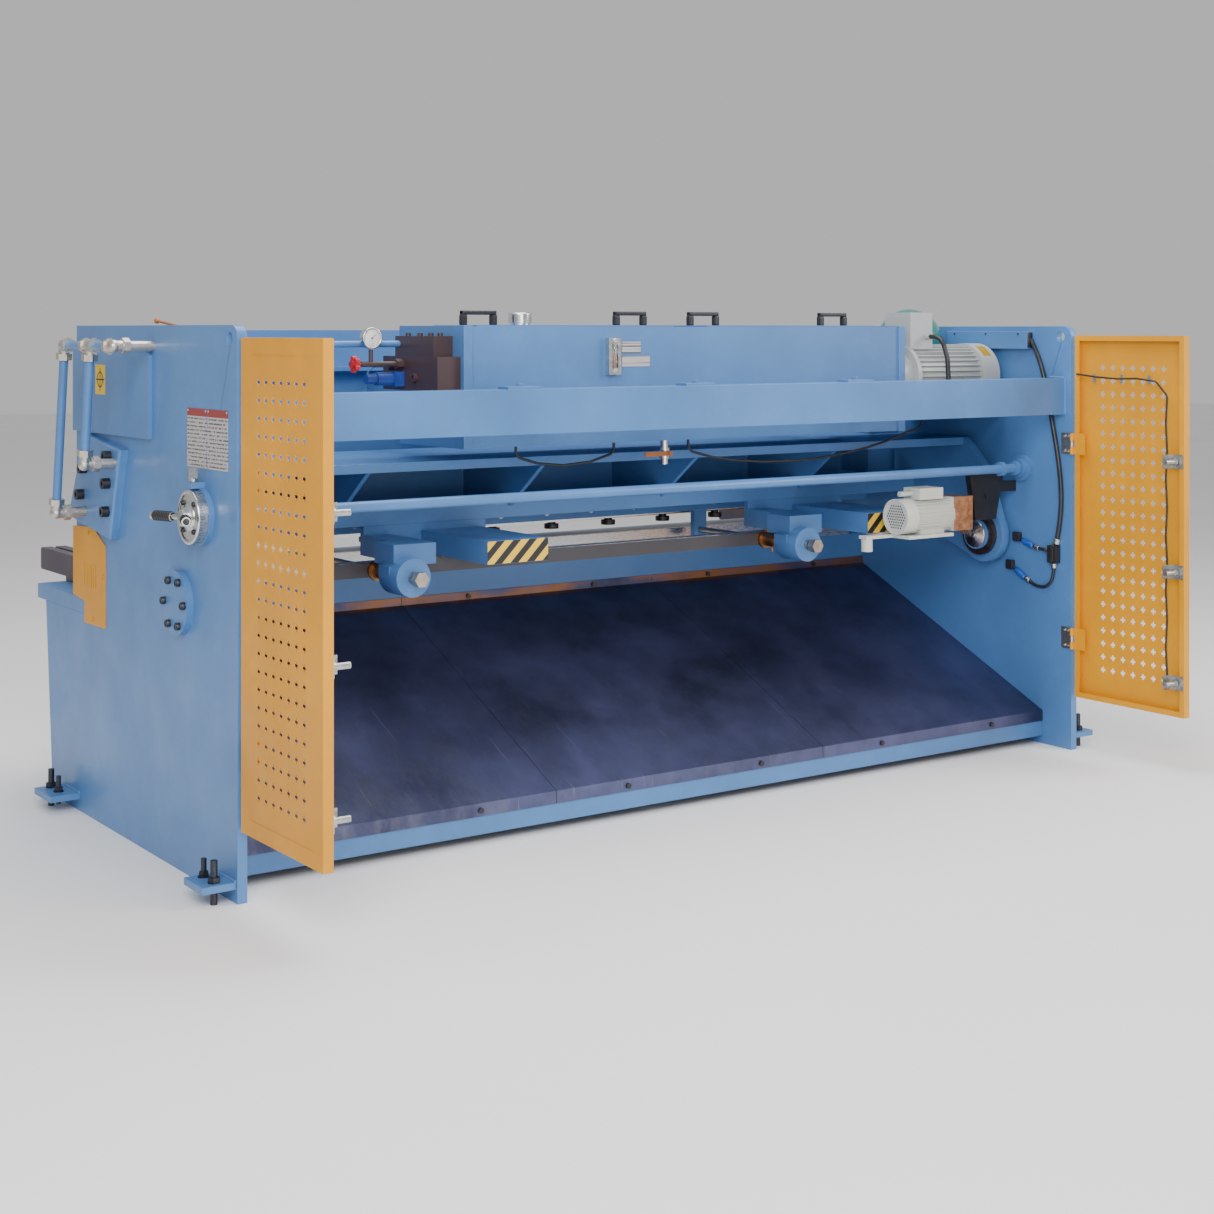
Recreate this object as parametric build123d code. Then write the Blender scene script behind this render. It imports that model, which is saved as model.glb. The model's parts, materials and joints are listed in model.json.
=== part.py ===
from build123d import *
import math
import os

# Hydraulic swing-beam plate shear. Millimetres. +X is the gap-dial side, +Y the rear,
# where cut plates slide out, -Y the operator's side, +Z up, floor at z = 0.

# Driving dimensions
inside_width = 3352        # between the side plates
plate_thickness = 30
plate_height = 1600
plate_depth = 1285         # depth of the side plates above the table
base_depth = 1590          # depth of the side plates just under the table
foot_depth = 1520          # depth of the side plates at the floor
door_width = 500
door_height = 1360
door_bottom = 205
door_thickness = 30
sheet = 3                  # folded sheet metal of doors and guards
hinge_offset = 12          # door hinge axis behind the side plates
hinge_gap = 8              # from the hinge axis to the door's edge
arm_front = 1940           # front end of the support arms, ahead of the rear edge
table_top = 706
arm_spacing = 1562
feed_height = 800          # top of the lower blade and of the support arms
table_thickness = 49
pivot_ahead = 400          # swing pivot, ahead of the side plates' rear edge
pivot_height = 787
pivot_radius = 45
swing_angle = 6.5
blade_reach = 750          # pivot to the upper cutting edge
blade_length = 3200
blade_thickness = 25
blade_gap = 0.8            # between the two blades at their closest
edge_height = 860          # upper cutting edge at mid-length, beam raised
edge_rake = 17             # rise of the upper edge over its length
running = 0.05             # radial clearance of turning and sliding fits
beam_top = 1160
beam_plate = 30
lug_thickness = 38
lug_gap = 26               # between a swing-beam lug and its side plate
shaft_radius = 17
hub_wall = 3               # dial hub round the shaft
ring_wall = 10             # drive rings round the shaft
drum_thickness = 26
shaft_ahead = 240
shaft_height = 1052
cover_front = 300
cover_depth = 26
rod_radius = 30
rod_ahead = 1020           # ram axis, ahead of the rear edge
doubler_thickness = 13
ram_inset = 86             # ram axis, inside the side plate
ram_clearance = 0.5
foot_pitch = 265
foot_count = 12
foot_stroke = 25
screw_radius = 12
screw_height = 797
screw_offset = 825         # each lead screw from the middle of the pair
screw_middle = 92
gauge_travel = 325
gauge_rest = 670           # rear face of the gauge bar, ahead of the rear edge
tank_left = 780
tank_right = -1145
tank_rear = 340
tank_depth = 425
tank_bottom = 1205
tank_wall = 6
tank_end = 34
pipe_radius = 14
pipe_standoff = 125
fitting_radius = 25
fitting_reach = 46
pipe_high = 1537
chute_thickness = 4.5
beam_low = 1266
beam_high = 1404
channel_wall = 8
pad_reach = 100            # levelling pads, out from the side plates
pad_bottom = 40
pad_thickness = 20
pad_bolt_reach = 52        # screw and stud of each pad, out from the side plates
pads = ((1249, 1410, 1382, 1310), (7, 137, 40, 110))  # from, to, screw and stud, ahead
jack_radius = 10           # levelling screws
stud_radius = 8            # anchor studs
bolt_clearance = 0.2
lifting_ahead = 53
lifting_height = 1560
lifting_radius = 20

# Derived dimensions
half_in = inside_width / 2
half_out = half_in + plate_thickness
door_rear = hinge_offset + hinge_gap + door_width
rear_y = (arm_front - door_rear) / 2
hinge_x = half_in - 11
door_out = half_out - 2
door_in = door_out - door_thickness
lug_out = half_in - lug_gap
lug_in = lug_out - lug_thickness
tilt = math.tan(math.radians(swing_angle))
edge_drop = edge_height - pivot_height
lower_blade_rear = pivot_ahead + math.hypot(blade_reach, edge_drop) + blade_gap
lower_blade_front = lower_blade_rear + blade_thickness
ram_x = half_in - ram_inset
drum_in = half_out + 16
drum_out = drum_in + drum_thickness
hub_end = drum_out + 28
knob_x = half_out + 29
tank_front = tank_rear + tank_depth
pipe_x = half_out + pipe_standoff
screw_xs = (screw_middle + screw_offset, screw_middle - screw_offset)


def ahead(distance):
    """y of a point this far in front of the side plates' rear edge."""
    return rear_y - distance


def block(x0, x1, d0, d1, z0, z1):
    """Box from x0 to x1, from d0 to d1 ahead of the rear edge, from z0 to z1."""
    box = Box(abs(x1 - x0), abs(d1 - d0), abs(z1 - z0))
    return Pos((x0 + x1) / 2, ahead((d0 + d1) / 2), (z0 + z1) / 2) * box


def rod_x(x0, x1, d, z, radius):
    return Pos((x0 + x1) / 2, ahead(d), z) * Rot(0, 90, 0) * Cylinder(radius, abs(x1 - x0))


def rod_y(x, d0, d1, z, radius):
    return Pos(x, ahead((d0 + d1) / 2), z) * Rot(90, 0, 0) * Cylinder(radius, abs(d1 - d0))


def rod_z(x, d, z0, z1, radius):
    return Pos(x, ahead(d), (z0 + z1) / 2) * Cylinder(radius, abs(z1 - z0))


def hex_x(x0, x1, d, z, radius):
    prism = extrude(RegularPolygon(radius, 6), abs(x1 - x0))
    return Pos(min(x0, x1), ahead(d), z) * Rot(0, 90, 0) * prism


def hex_y(x, d0, d1, z, radius):
    prism = extrude(RegularPolygon(radius, 6), abs(d1 - d0))
    return Pos(x, ahead(max(d0, d1)), z) * Rot(-90, 0, 0) * prism


def hex_z(x, d, z0, z1, radius):
    return Pos(x, ahead(d), z0) * extrude(RegularPolygon(radius, 6), z1 - z0)


def profile(points, x0, x1):
    """Plate between x0 and x1 whose outline is given as (ahead, z) points."""
    corners = [Vector(min(x0, x1), ahead(d), z) for d, z in points]
    face = Face(Wire.make_polygon(corners, close=True))
    return Solid.extrude(face, Vector(abs(x1 - x0), 0, 0))


def mirrored(shape):
    return mirror(shape, about=Plane.YZ)


def both(shape):
    return [shape, mirrored(shape)]


def group(*shapes):
    solids = []
    for shape in shapes:
        items = shape if isinstance(shape, (list, tuple)) else [shape]
        for item in items:
            solids.extend(item.solids())
    return Compound(children=solids)


def tube(points, bend, radius, label):
    """Round tube along straight runs joined by tangent arcs."""
    route = FilletPolyline(*[(x, ahead(d), z) for x, d, z in points], radius=bend)
    section = Plane(origin=route @ 0, z_dir=route % 0) * Circle(radius)
    print(label, "length", round(route.length, 1), "bend radius", bend)
    return sweep(section, path=route)


def levelling_pads():
    """Pads welded to the foot of a side plate, bored for a levelling screw and a stud."""
    shapes = []
    pad_top = pad_bottom + pad_thickness
    for d0, d1, screw, stud in pads:
        pad = block(half_out, half_out + pad_reach, d0, d1, pad_bottom, pad_top)
        for d, radius in ((screw, jack_radius), (stud, stud_radius)):
            pad -= rod_z(half_out + pad_bolt_reach, d, pad_bottom - 1, pad_top + 1,
                         radius + bolt_clearance)
        shapes.append(pad)
    return shapes


def side_plate():
    outline = [(0, 0), (0, plate_height), (plate_depth, plate_height),
               (plate_depth, table_top), (lower_blade_front + 10, table_top),
               (lower_blade_front + 10, table_top - table_thickness),
               (base_depth, table_top - table_thickness), (foot_depth, 0)]
    plate = profile(outline, half_in, half_out)
    corner = plate.edges().filter_by(Axis.X).sort_by(lambda e: e.center().Y + e.center().Z)[-1]
    plate = fillet(corner, 40)
    plate -= rod_x(half_in - 1, half_out + 1, pivot_ahead, pivot_height, pivot_radius + 0.1)
    plate -= rod_x(half_in - 1, half_out + 1, shaft_ahead, shaft_height, shaft_radius + running)
    plate -= rod_x(half_in - 1, half_out + 1, lifting_ahead, lifting_height, lifting_radius)
    return group(plate, levelling_pads())


def cross_beams():
    """Rear tie beam with its bolted tabs, and the low beam under the chute."""
    tie = block(-half_in, half_in, 30, 110, beam_low, beam_high)
    tie -= block(-half_in, half_in, 30 + channel_wall, 111,
                 beam_low + channel_wall, beam_high - channel_wall)
    tie -= block(-half_in - 1, -half_in + 60, 30 + channel_wall, 111, beam_low - 1, beam_high + 1)
    low = block(-half_in, half_in, 145, 170, 30, 125)
    for x in (744, 62, -641):
        tie += block(x - 60, x + 60, 35, 95, beam_high, beam_high + 8)
        tie += hex_z(x, 65, beam_high + 8, beam_high + 18, 12)
    return group(tie, low)


def bed():
    floor_gap = 90
    under = table_top - table_thickness
    web = block(-half_in, half_in, lower_blade_rear + 2, lower_blade_front + 10, floor_gap, 720)
    table = block(-half_in, half_in, lower_blade_front, plate_depth, under, table_top)
    table += block(-half_out, half_out, lower_blade_front + 10, base_depth + 85, under, table_top)
    seat = block(-half_in, half_in, lower_blade_front, 1310, table_top, feed_height)
    apron = block(-half_in, half_in, 1480, 1505, floor_gap, under)
    sole = block(-half_in, half_in, lower_blade_rear + 2, 1505, floor_gap, floor_gap + 20)
    return web + table + seat + apron + sole


def lower_blade():
    return block(-blade_length / 2, blade_length / 2, lower_blade_rear, lower_blade_front,
                 720, feed_height)


def support_arms():
    """Three arms that carry the plate in front of the table, each with a T-slot."""
    arms = []
    for x in (arm_spacing, 0, -arm_spacing):
        arm = block(x - 45, x + 45, 1310, arm_front, feed_height - 78, feed_height)
        arm = chamfer(arm.faces().sort_by(Axis.Y)[0].edges().filter_by(Axis.X), 6)
        arm += block(x - 45, x + 45, 1310, base_depth + 85, table_top, feed_height - 78)
        arm -= block(x - 7, x + 7, 1309, arm_front + 1, feed_height - 10, feed_height + 1)
        arm -= block(x - 12, x + 12, 1309, arm_front + 1, feed_height - 22, feed_height - 10)
        arms.append(arm)
    return group(arms)


def front_beam():
    """Front beam that holds the hold-down cylinders, with the tall front panel above."""
    box = block(-half_in, half_in, 1170, plate_depth, 900, 1080)
    for x in foot_places():
        box -= rod_z(x, 1222, 899, 960, 16 + running)
    panel = block(-half_in, half_in, plate_depth - 25, plate_depth, 1080, 1585)
    ledge = block(-half_in, half_in, 1180, plate_depth - 25, 1440, 1455)
    return box + panel + ledge


def foot_places():
    first = -foot_pitch * (foot_count - 1) / 2
    return [first + foot_pitch * i for i in range(foot_count)]


def holddown_feet():
    feet = []
    for x in foot_places():
        pad = rod_z(x, 1222, feed_height + foot_stroke, feed_height + foot_stroke + 18, 28)
        feet.append(pad + rod_z(x, 1222, feed_height + foot_stroke + 18, 930, 16))
    return group(feet)


def front_guard():
    low, high, front = feed_height + 35, 990, 1340
    panel = Rectangle(3310, high - low)
    slot = Rectangle(11, 60)
    slots = [Pos(23 * i, -30) * slot for i in range(-69, 70)]
    panel = extrude(panel - slots, sheet)
    panel = Pos(0, ahead(front), (low + high) / 2) * Rot(-90, 0, 0) * panel
    end = block(1652, 1655, plate_depth, front - sheet, low, high)
    end -= block(1640, 1660, plate_depth + 14, front - 17, low + 25, high - 25)
    strap = block(-30, 30, plate_depth, front - sheet, 945, 960)
    straps = [Pos(x, 0, 0) * strap for x in (-1100, 0, 1100)]
    return group(panel, both(end), straps)


def side_guards():
    """Yellow covers over the throat of each side plate, with vent slots."""
    outline = [(1310, 937), (1121, 947), (1014, 896), (1013, 631), (1202, 629), (1202, 700),
               (1310, 710)]
    cover = profile(outline, half_out, half_out + sheet)
    for i in range(6):
        d = 1098 + 20 * i
        cover -= block(half_out - 1, half_out + 9, d - 3, d + 3, 750, 825)
    cover += block(half_in, half_out + sheet, 1307, 1310, 712, 936)
    screws = [hex_x(half_out + sheet, half_out + sheet + 4, d, z, 6)
              for d, z in ((1160, 925), (1030, 795), (1120, 650))]
    return group(both(cover), [s for screw in screws for s in both(screw)])


def floor_bolts():
    """Levelling screws that stand on the floor and anchor studs, each with its nut."""
    shapes = []
    x = half_out + pad_bolt_reach
    seat = pad_bottom + pad_thickness
    for _, _, hole, stud in pads:
        screw = rod_z(x, hole, 0, seat + 62, jack_radius) + hex_z(x, hole, seat, seat + 16, 18)
        anchor = rod_z(x, stud, pad_bottom - 20, seat + 52, stud_radius)
        anchor += rod_z(x, stud, seat, seat + 3, 17) + hex_z(x, stud, seat + 3, seat + 16, 14)
        shapes.extend(both(screw) + both(anchor))
    return group(shapes)


def chute_sheets():
    t = chute_thickness
    top = lower_blade_rear + 2
    outline = [(top, 622), (top - t, 622), (top - t, 594), (145 - t, 128), (145 - t, 88),
               (145, 88), (145, 125), (top, 588)]
    third = inside_width / 3
    sheets = []
    for i in range(3):
        x0 = -half_in + third * i
        sheets.append(profile(outline, x0 + 1, x0 + third - 1))
    return group(sheets)


def cap_screws():
    """Socket screws of the chute sheets and the big ones of the cylinder plates."""
    shapes = []
    third = inside_width / 3
    for i in range(3):
        for share in (0.25, 0.75):
            x = -half_in + third * (i + share)
            top = lower_blade_rear + 2 - chute_thickness
            shapes.append(rod_y(x, top - 6, top, 606, 9))
            shapes.append(rod_y(x, 145 - chute_thickness - 6, 145 - chute_thickness, 106, 9))
    face = half_out + plate_thickness
    for d, z in ((897, 1190), (1114, 1140), (906, 1104), (1141, 1054), (914, 1015)):
        head = rod_x(face, face + 24, d, z, 17) - hex_x(face + 12, face + 25, d, z, 8)
        shapes.extend(both(head))
    return group(shapes)


def cylinder_units():
    """Thick outer plate, inner block and barrel of the main cylinder, one per side."""
    outer = profile([(1139, 1250), (816, 1212), (905, 926), (1285, 972)],
                    half_out, half_out + plate_thickness)
    outer = chamfer(outer.faces().sort_by(Axis.X)[-1].edges(), 6)
    doubler = block(half_out, half_out + doubler_thickness, 620, plate_depth, 1255, 1530)
    doubler -= rod_x(half_out - 1, half_out + 20, 610, pipe_high, 30)
    body = block(ram_x - 80, half_in, rod_ahead - 80, rod_ahead + 80, 1000, 1240)
    body += rod_z(ram_x, rod_ahead, 965, 1000, 52)
    body -= rod_z(ram_x, rod_ahead, 964, 1225, rod_radius + running)
    return group(both(outer), both(doubler), both(body))


def ram():
    shelf = 950
    centre = shelf + ram_clearance + rod_radius
    rod = rod_z(ram_x, rod_ahead, centre, 1180, rod_radius)
    return rod + Pos(ram_x, ahead(rod_ahead), centre) * Sphere(rod_radius)


def pivot_pins():
    pin = rod_x(lug_in - 38, half_out, pivot_ahead, pivot_height, pivot_radius)
    pin += rod_x(lug_in - 38, lug_in - 22, pivot_ahead, pivot_height, 58)
    flange = rod_x(half_out, half_out + 20, pivot_ahead, pivot_height, 95)
    for i in range(6):
        angle = math.radians(60 * i)
        d = pivot_ahead - 73 * math.cos(angle)
        z = pivot_height + 73 * math.sin(angle)
        flange += rod_x(half_out + 20, half_out + 30, d, z, 9)
    return group(both(pin + flange))


def gap_disc():
    """Eccentric ring on the inner end of each pivot, turned by the gap shaft."""
    ring = rod_x(lug_in - 21.5, lug_in - 0.5, pivot_ahead, pivot_height, 82)
    ring -= rod_x(lug_in - 30, lug_in, pivot_ahead, pivot_height, pivot_radius + running)
    for i in range(8):
        angle = math.radians(45 * i)
        d = pivot_ahead + 70 * math.cos(angle)
        z = pivot_height + 70 * math.sin(angle)
        ring -= rod_x(lug_in - 22, lug_in - 14, d, z, 5)
    return ring


def blade_front(z):
    return pivot_ahead + blade_reach - (z - edge_height) * tilt


def swing_beam():
    shelf, thick = 950, 20
    lug = profile([(1112, 872), (1112, shelf), (890, shelf), (890, beam_top), (500, beam_top),
                   (375, 1040), (293, 800), (400, 678), (618, 757), (850, 850)],
                  lug_in, lug_out)
    lug += rod_x(lug_in, lug_out, pivot_ahead, pivot_height, 110)
    lug -= rod_x(lug_in - 1, lug_out + 1, pivot_ahead, pivot_height, pivot_radius + running)
    narrow = ram_x - 100
    top = block(-lug_in, lug_in, 500, 890, beam_top - beam_plate, beam_top)
    top += block(-narrow, narrow, 890, 1120, beam_top - beam_plate, beam_top)
    front = block(-narrow, narrow, 1090, 1120, shelf, beam_top - beam_plate)
    rear = blade_thickness
    holder = profile([(blade_front(875) - rear, 875), (blade_front(shelf) - rear, shelf),
                      (1060, shelf), (1060, 875)], -lug_in, lug_in)
    floor = block(-lug_in, lug_in, 780, 1100, shelf - thick, shelf)
    lip = block(-lug_in, lug_in, 780, 805, shelf, 1012)
    beam = lug + mirrored(lug) + top + front + holder + floor + lip
    for x in (-1000, -330, 330, 1000):
        beam += profile([(1090, shelf), (1090, 1130), (560, 1130), (805, shelf)], x - 8, x + 8)
    for x in screw_xs:
        beam += block(x - 487, x - 12, 782, 807, 832, shelf - thick)
    return beam


def upper_blade():
    half = blade_length / 2
    wires = []
    for x, z in ((half, edge_height - edge_rake / 2), (-half, edge_height + edge_rake / 2)):
        corners = [(blade_front(z), z), (blade_front(950), 950),
                   (blade_front(950) - blade_thickness, 950), (blade_front(z) - blade_thickness, z)]
        wires.append(Wire.make_polygon([Vector(x, ahead(d), h) for d, h in corners], close=True))
    blade = Solid.make_loft(wires, ruled=True)
    heads = [rod_y(200 * i, 1050, 1060, 905, 11) for i in range(-7, 8)]
    return group(blade, heads)


def gauge_arms():
    """Guide boxes, screw bearings and front bearing brackets of the back gauge."""
    shapes = []
    for x in screw_xs:
        arm = block(x - 463, x - 231, 350, 782, 830, 905)
        arm -= block(x - 455, x - 239, 358, 783, 838, 897)
        carrier = block(x - 110, x - 12, 470, 782, 832, 900)
        carrier += block(x - 12, x + 45, 470, 600, 832, 900)
        carrier += block(x - 62, x + 62, 470, 540, 797, 832)
        carrier += rod_y(x, 420, 540, screw_height, 62)
        carrier -= rod_y(x, 419, 541, screw_height, screw_radius + running)
        front = block(x - 30, x + 30, 1064, 1090, 765, 875)
        front -= rod_y(x, 1063, 1091, screw_height, screw_radius + running)
        shapes.extend([arm, carrier, front])
    return group(shapes)


def lead_screw(x):
    screw = rod_y(x, 365, 1092, screw_height, screw_radius)
    screw += rod_y(x, 405, 419, screw_height, 20)
    screw += hex_y(x, 365, 395, screw_height, 26)
    return screw


def gauge_bar():
    bar = block(screw_xs[1] - 250, screw_xs[0] + 220, gauge_rest, gauge_rest + 60, 775, 822)
    for x in screw_xs:
        bar -= rod_y(x, gauge_rest - 1, gauge_rest + 61, screw_height, screw_radius + 1)
    return bar


def gauge_nuts():
    nuts = []
    for x in screw_xs:
        nut = rod_y(x, gauge_rest - 70, gauge_rest, screw_height, 26)
        nut += rod_y(x, gauge_rest - 12, gauge_rest, screw_height, 34)
        nut += rod_z(x, gauge_rest - 45, screw_height - 44, screw_height - 20, 5)
        nut -= rod_y(x, gauge_rest - 71, gauge_rest + 1, screw_height, screw_radius + running)
        nuts.append(nut)
    return group(nuts)


def gauge_motor():
    """Small geared motor behind the right-hand guide box, on its bracket plate."""
    x1 = screw_xs[1] - 275
    axis = 897
    plate = block(x1 - 240, x1 - 12, 190, 420, 818, 830)
    body = rod_x(x1 - 60, x1 - 250, 250, axis, 58)
    for i in range(24):
        angle = math.radians(15 * i)
        fin = Pos(x1 - 155, ahead(250), axis) * Rot(15 * i, 0, 0) * Box(180, 3, 2 * 65)
        if i < 12:
            body += fin
    body += rod_x(x1, x1 - 60, 250, axis, 66)
    body -= rod_x(x1 + 1, x1 - 4, 250, axis, 58)
    body += block(x1 - 90, x1 - 210, 210, 290, 828, 850)
    box = block(x1 - 80, x1 - 200, 205, 290, 958, 1000)
    gland = rod_x(x1 - 80, x1 - 20, 250, 980, 10)
    gearbox = block(x1 - 250, x1 - 350, 200, 300, 835, 962)
    gearbox += rod_x(x1 - 350, x1 - 362, 250, 850, 36)
    can = rod_z(x1 + 95, 300, 772, 830, 21) + block(x1 - 20, x1 + 116, 280, 320, 818, 830)
    return group(plate + body + box + gland + gearbox + can)


def gap_shaft():
    shaft = rod_x(-half_out + 5, drum_out, shaft_ahead, shaft_height, shaft_radius)
    for x in (-1636, -1560, 1560):
        shaft += rod_x(x, x + 18, shaft_ahead, shaft_height, shaft_radius + ring_wall)
    return shaft


def gap_dial():
    """Graduated drum on the shaft's outer end with its hub and two hand levers."""
    drum = rod_x(drum_in, drum_out, shaft_ahead, shaft_height, 79)
    drum += rod_x(drum_out, hub_end, shaft_ahead, shaft_height, shaft_radius + hub_wall)
    drum -= rod_x(drum_in - 1, drum_out, shaft_ahead, shaft_height, shaft_radius)
    slope = math.radians(20)
    centre = Vector(hub_end - 14, ahead(shaft_ahead), shaft_height)
    for side in (-1, 1):
        lever = Plane(origin=centre, z_dir=(math.sin(slope), side * math.cos(slope), 0))
        drum += lever * Pos(0, 0, 30) * Cylinder(8, 60)
        drum += lever * Pos(0, 0, 88) * Cylinder(13, 84)
    return drum


def shaft_bearings():
    """Fixed ring behind the drum, clamp block above it, and the far-side bearing."""
    ring = rod_x(half_out, drum_in - 0.5, shaft_ahead, shaft_height, 84)
    ring += block(half_out, drum_out, shaft_ahead - 15, shaft_ahead + 15, 1134, 1152)
    ring -= rod_x(half_out - 1, drum_in, shaft_ahead, shaft_height, shaft_radius + running)
    ring -= rod_z(knob_x, shaft_ahead, 1140, 1153, 6 + running)
    far = rod_x(-half_in, -half_in + 18, shaft_ahead, shaft_height, 50)
    far += rod_x(-half_in + 18, -half_in + 34, shaft_ahead, shaft_height, 36)
    far -= rod_x(-half_in - 1, -half_in + 35, shaft_ahead, shaft_height, shaft_radius + running)
    return group(ring, far)


def gap_knob():
    """Wing knob that clamps the drum."""
    knob = rod_z(knob_x, shaft_ahead, 1141, 1162, 6)
    knob += rod_z(knob_x, shaft_ahead, 1154, 1166, 13)
    knob += block(knob_x - 6, knob_x + 6, shaft_ahead - 18, shaft_ahead + 18, 1162, 1192)
    return knob


def drive_cover():
    """Tapered cover over the chain between the gap shaft and the pivot ring."""
    corners = [Vector(-1419, ahead(cover_front), 1040), Vector(-1604, ahead(cover_front), 1040),
               Vector(-1560, ahead(cover_front), 857), Vector(-1451, ahead(cover_front), 857)]
    face = Face(Wire.make_polygon(corners, close=True))
    cover = Solid.extrude(face, Vector(0, cover_depth, 0))
    cover += rod_y(-1508, cover_front - cover_depth - 6, cover_front - cover_depth, 945, 9)
    cover += block(-half_in, -1575, cover_front - 22, cover_front - 3, 960, 1000)
    return cover


def oil_tank():
    inner_left, inner_right = tank_left - tank_end, tank_right + tank_end
    box = block(inner_right, inner_left, tank_rear + 8, tank_front - 8,
                tank_bottom + 2, plate_height - 4)
    box -= block(inner_right + tank_wall, inner_left - tank_wall,
                 tank_rear + 8 + tank_wall, tank_front - 8 - tank_wall,
                 tank_bottom + 2 + tank_wall, plate_height - 4 - tank_wall)
    for x in lid_middles():
        box -= block(x - hatch_length / 2, x + hatch_length / 2, 440, 660, 1500, 1700)
    ends = block(inner_left, tank_left, tank_rear, tank_front, tank_bottom, plate_height)
    ends += block(tank_right, inner_right, tank_rear, tank_front, tank_bottom, plate_height)
    return box + ends


hatch_length = 620
lid_length = 800


def lid_middles():
    return (290, -655)


def tank_lid(x):
    top = plate_height - 4
    lid = block(x - lid_length / 2, x + lid_length / 2, 410, 690, top, top + 6)
    for end in (x - 310, x + 310):
        grip = block(end - 66, end + 66, 541, 559, top + 6, top + 54)
        grip -= block(end - 52, end + 52, 540, 560, top + 5, top + 42)
        lid += grip
    return lid


def filler_cap():
    base = plate_height + 2
    cap = rod_z(436, 550, base, base + 8, 34) + rod_z(436, 550, base + 8, base + 42, 40)
    return fillet(cap.edges().filter_by(GeomType.CIRCLE).sort_by(Axis.Z)[-1], 6)


def tank_brackets():
    """Struts from the tank to the front panel and the tie beam, and the motor shelf."""
    shapes = []
    for x in (tank_left - 150, tank_right + 150):
        shapes.append(block(x - 15, x + 15, 30 + channel_wall, tank_rear + 8, 1290, 1380))
        shapes.append(block(x - 15, x + 15, tank_front - 8, plate_depth - 25, 1300, 1400))
    shapes.append(block(-half_in, tank_right, 325, 860, 1270, 1285))
    return group(shapes)


def level_gauge():
    frame = block(175, 225, tank_rear - 14, tank_rear + 8, 1435, 1559)
    frame -= block(188, 212, tank_rear - 15, tank_rear - 4, 1455, 1539)
    return frame


def nameplates():
    shapes = []
    for d0, d1 in ((350, 211), (204, 63)):
        shapes.append(block(half_out, half_out + 1.5, d0, d1, 1190, 1360))
    label = half_out + doubler_thickness
    shapes.append(block(label, label + 1, 1070, 985, 1380, 1475))
    face = tank_rear + 8
    shapes.append(block(80, 158, face - 2, face, 1508, 1546))
    shapes.append(block(42, 158, face - 2, face, 1462, 1498))
    return group(shapes)


def drain_valve():
    x, d = -60, 400
    body = rod_z(x, d, 1122, tank_bottom + 2, 14) + rod_z(x, d, 1142, 1178, 20)
    return body + rod_y(x, d - 28, d, 1160, 9)


def drain_lever():
    x, d = -60, 400
    lever = block(x - 12, x + 105, d - 33, d - 28.3, 1152, 1168)
    return lever + rod_y(x, d - 38, d - 33, 1160, 7)


def valve_manifold():
    x = tank_left
    upper = block(x, x + 70, 410, 665, 1500, 1566)
    lower = block(x, x + 85, 360, 720, 1390, 1500)
    bolts = [rod_z(x + 35, d, 1566, 1576, 9) for d in (430, 490, 560, 640)]
    port = rod_x(x + 85, x + 97, 502, 1431, 15) - rod_x(x + 90, x + 98, 502, 1431, 8)
    isolator = rod_x(x + 85, x + 235, 590, 1475, 9) + hex_x(x + 85, x + 110, 590, 1475, 17)
    isolator += rod_z(x + 200, 590, 1475, 1522, 7)
    isolator -= rod_x(x + 215, x + 236, 590, 1475, 5 + running)
    plug = rod_x(x + 85, x + 108, 650, 1466, 13)
    block_body = upper + lower + bolts + port + isolator + plug
    return block_body


def solenoid_valve():
    x = tank_left + 85
    body = block(x, x + 34, 575, 625, 1402, 1450)
    coil = rod_x(x + 34, x + 92, 600, 1427, 22)
    end = rod_x(x + 92, x + 128, 600, 1427, 17)
    plug = block(x + 40, x + 80, 610, 640, 1415, 1440)
    return body + coil + end + plug


def pressure_gauge():
    x = tank_left + 200
    case = rod_y(x, 578, 602, 1559, 34) - rod_y(x, 577, 582, 1559, 30)
    return case + hex_z(x, 590, 1522, 1530, 10)


def isolator_handwheel():
    x = tank_left + 218
    wheel = rod_x(x, x + 34, 590, 1475, 5) + rod_x(x + 30, x + 52, 590, 1475, 12)
    wheel += rod_x(x + 34, x + 48, 590, 1475, 20)
    for i in range(5):
        angle = math.radians(72 * i)
        d = 590 + 19 * math.cos(angle)
        wheel += rod_x(x + 34, x + 48, d, 1475 + 19 * math.sin(angle), 9)
    return wheel


def manifold_pipes():
    """Pressure pipe to the dial-side plate, and the thin gauge line down to the tank."""
    x = tank_left
    pressure = rod_x(x + 70, half_in, 640, 1540, 11) + rod_x(half_in - 14, half_in, 640, 1540, 18)
    thin = tube([(x + 108, 650, 1466), (x + 178, 650, 1466), (x + 178, 672, 1376),
                 (x + 100, 672, 1320), (x, 672, 1320)], 30, 3, "gauge_line")
    return group(pressure, thin)


def pump_motor():
    d, z = 450, 1410
    adapter = rod_x(tank_right, tank_right - 60, d, z, 92)
    body = rod_x(tank_right - 60, tank_right - 420, d, z, 106)
    for i in range(18):
        fin = Pos(tank_right - 235, ahead(d), z) * Rot(10 * i, 0, 0) * Box(330, 3, 240)
        body += fin
    body += rod_x(tank_right - 60, tank_right - 78, d, z, 122)
    cover = rod_x(tank_right - 410, tank_right - 495, d, z, 123)
    cover -= rod_x(tank_right - 489, tank_right - 496, d, z, 100)
    box = block(tank_right - 65, tank_right - 180, d - 70, d + 70, 1512, 1652)
    gland = rod_y(tank_right - 150, d - 90, d - 70, 1560, 12)
    feet = block(tank_right - 120, tank_right - 360, d - 70, d + 70, 1285, 1320)
    return adapter + body + cover + box + gland + feet


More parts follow.
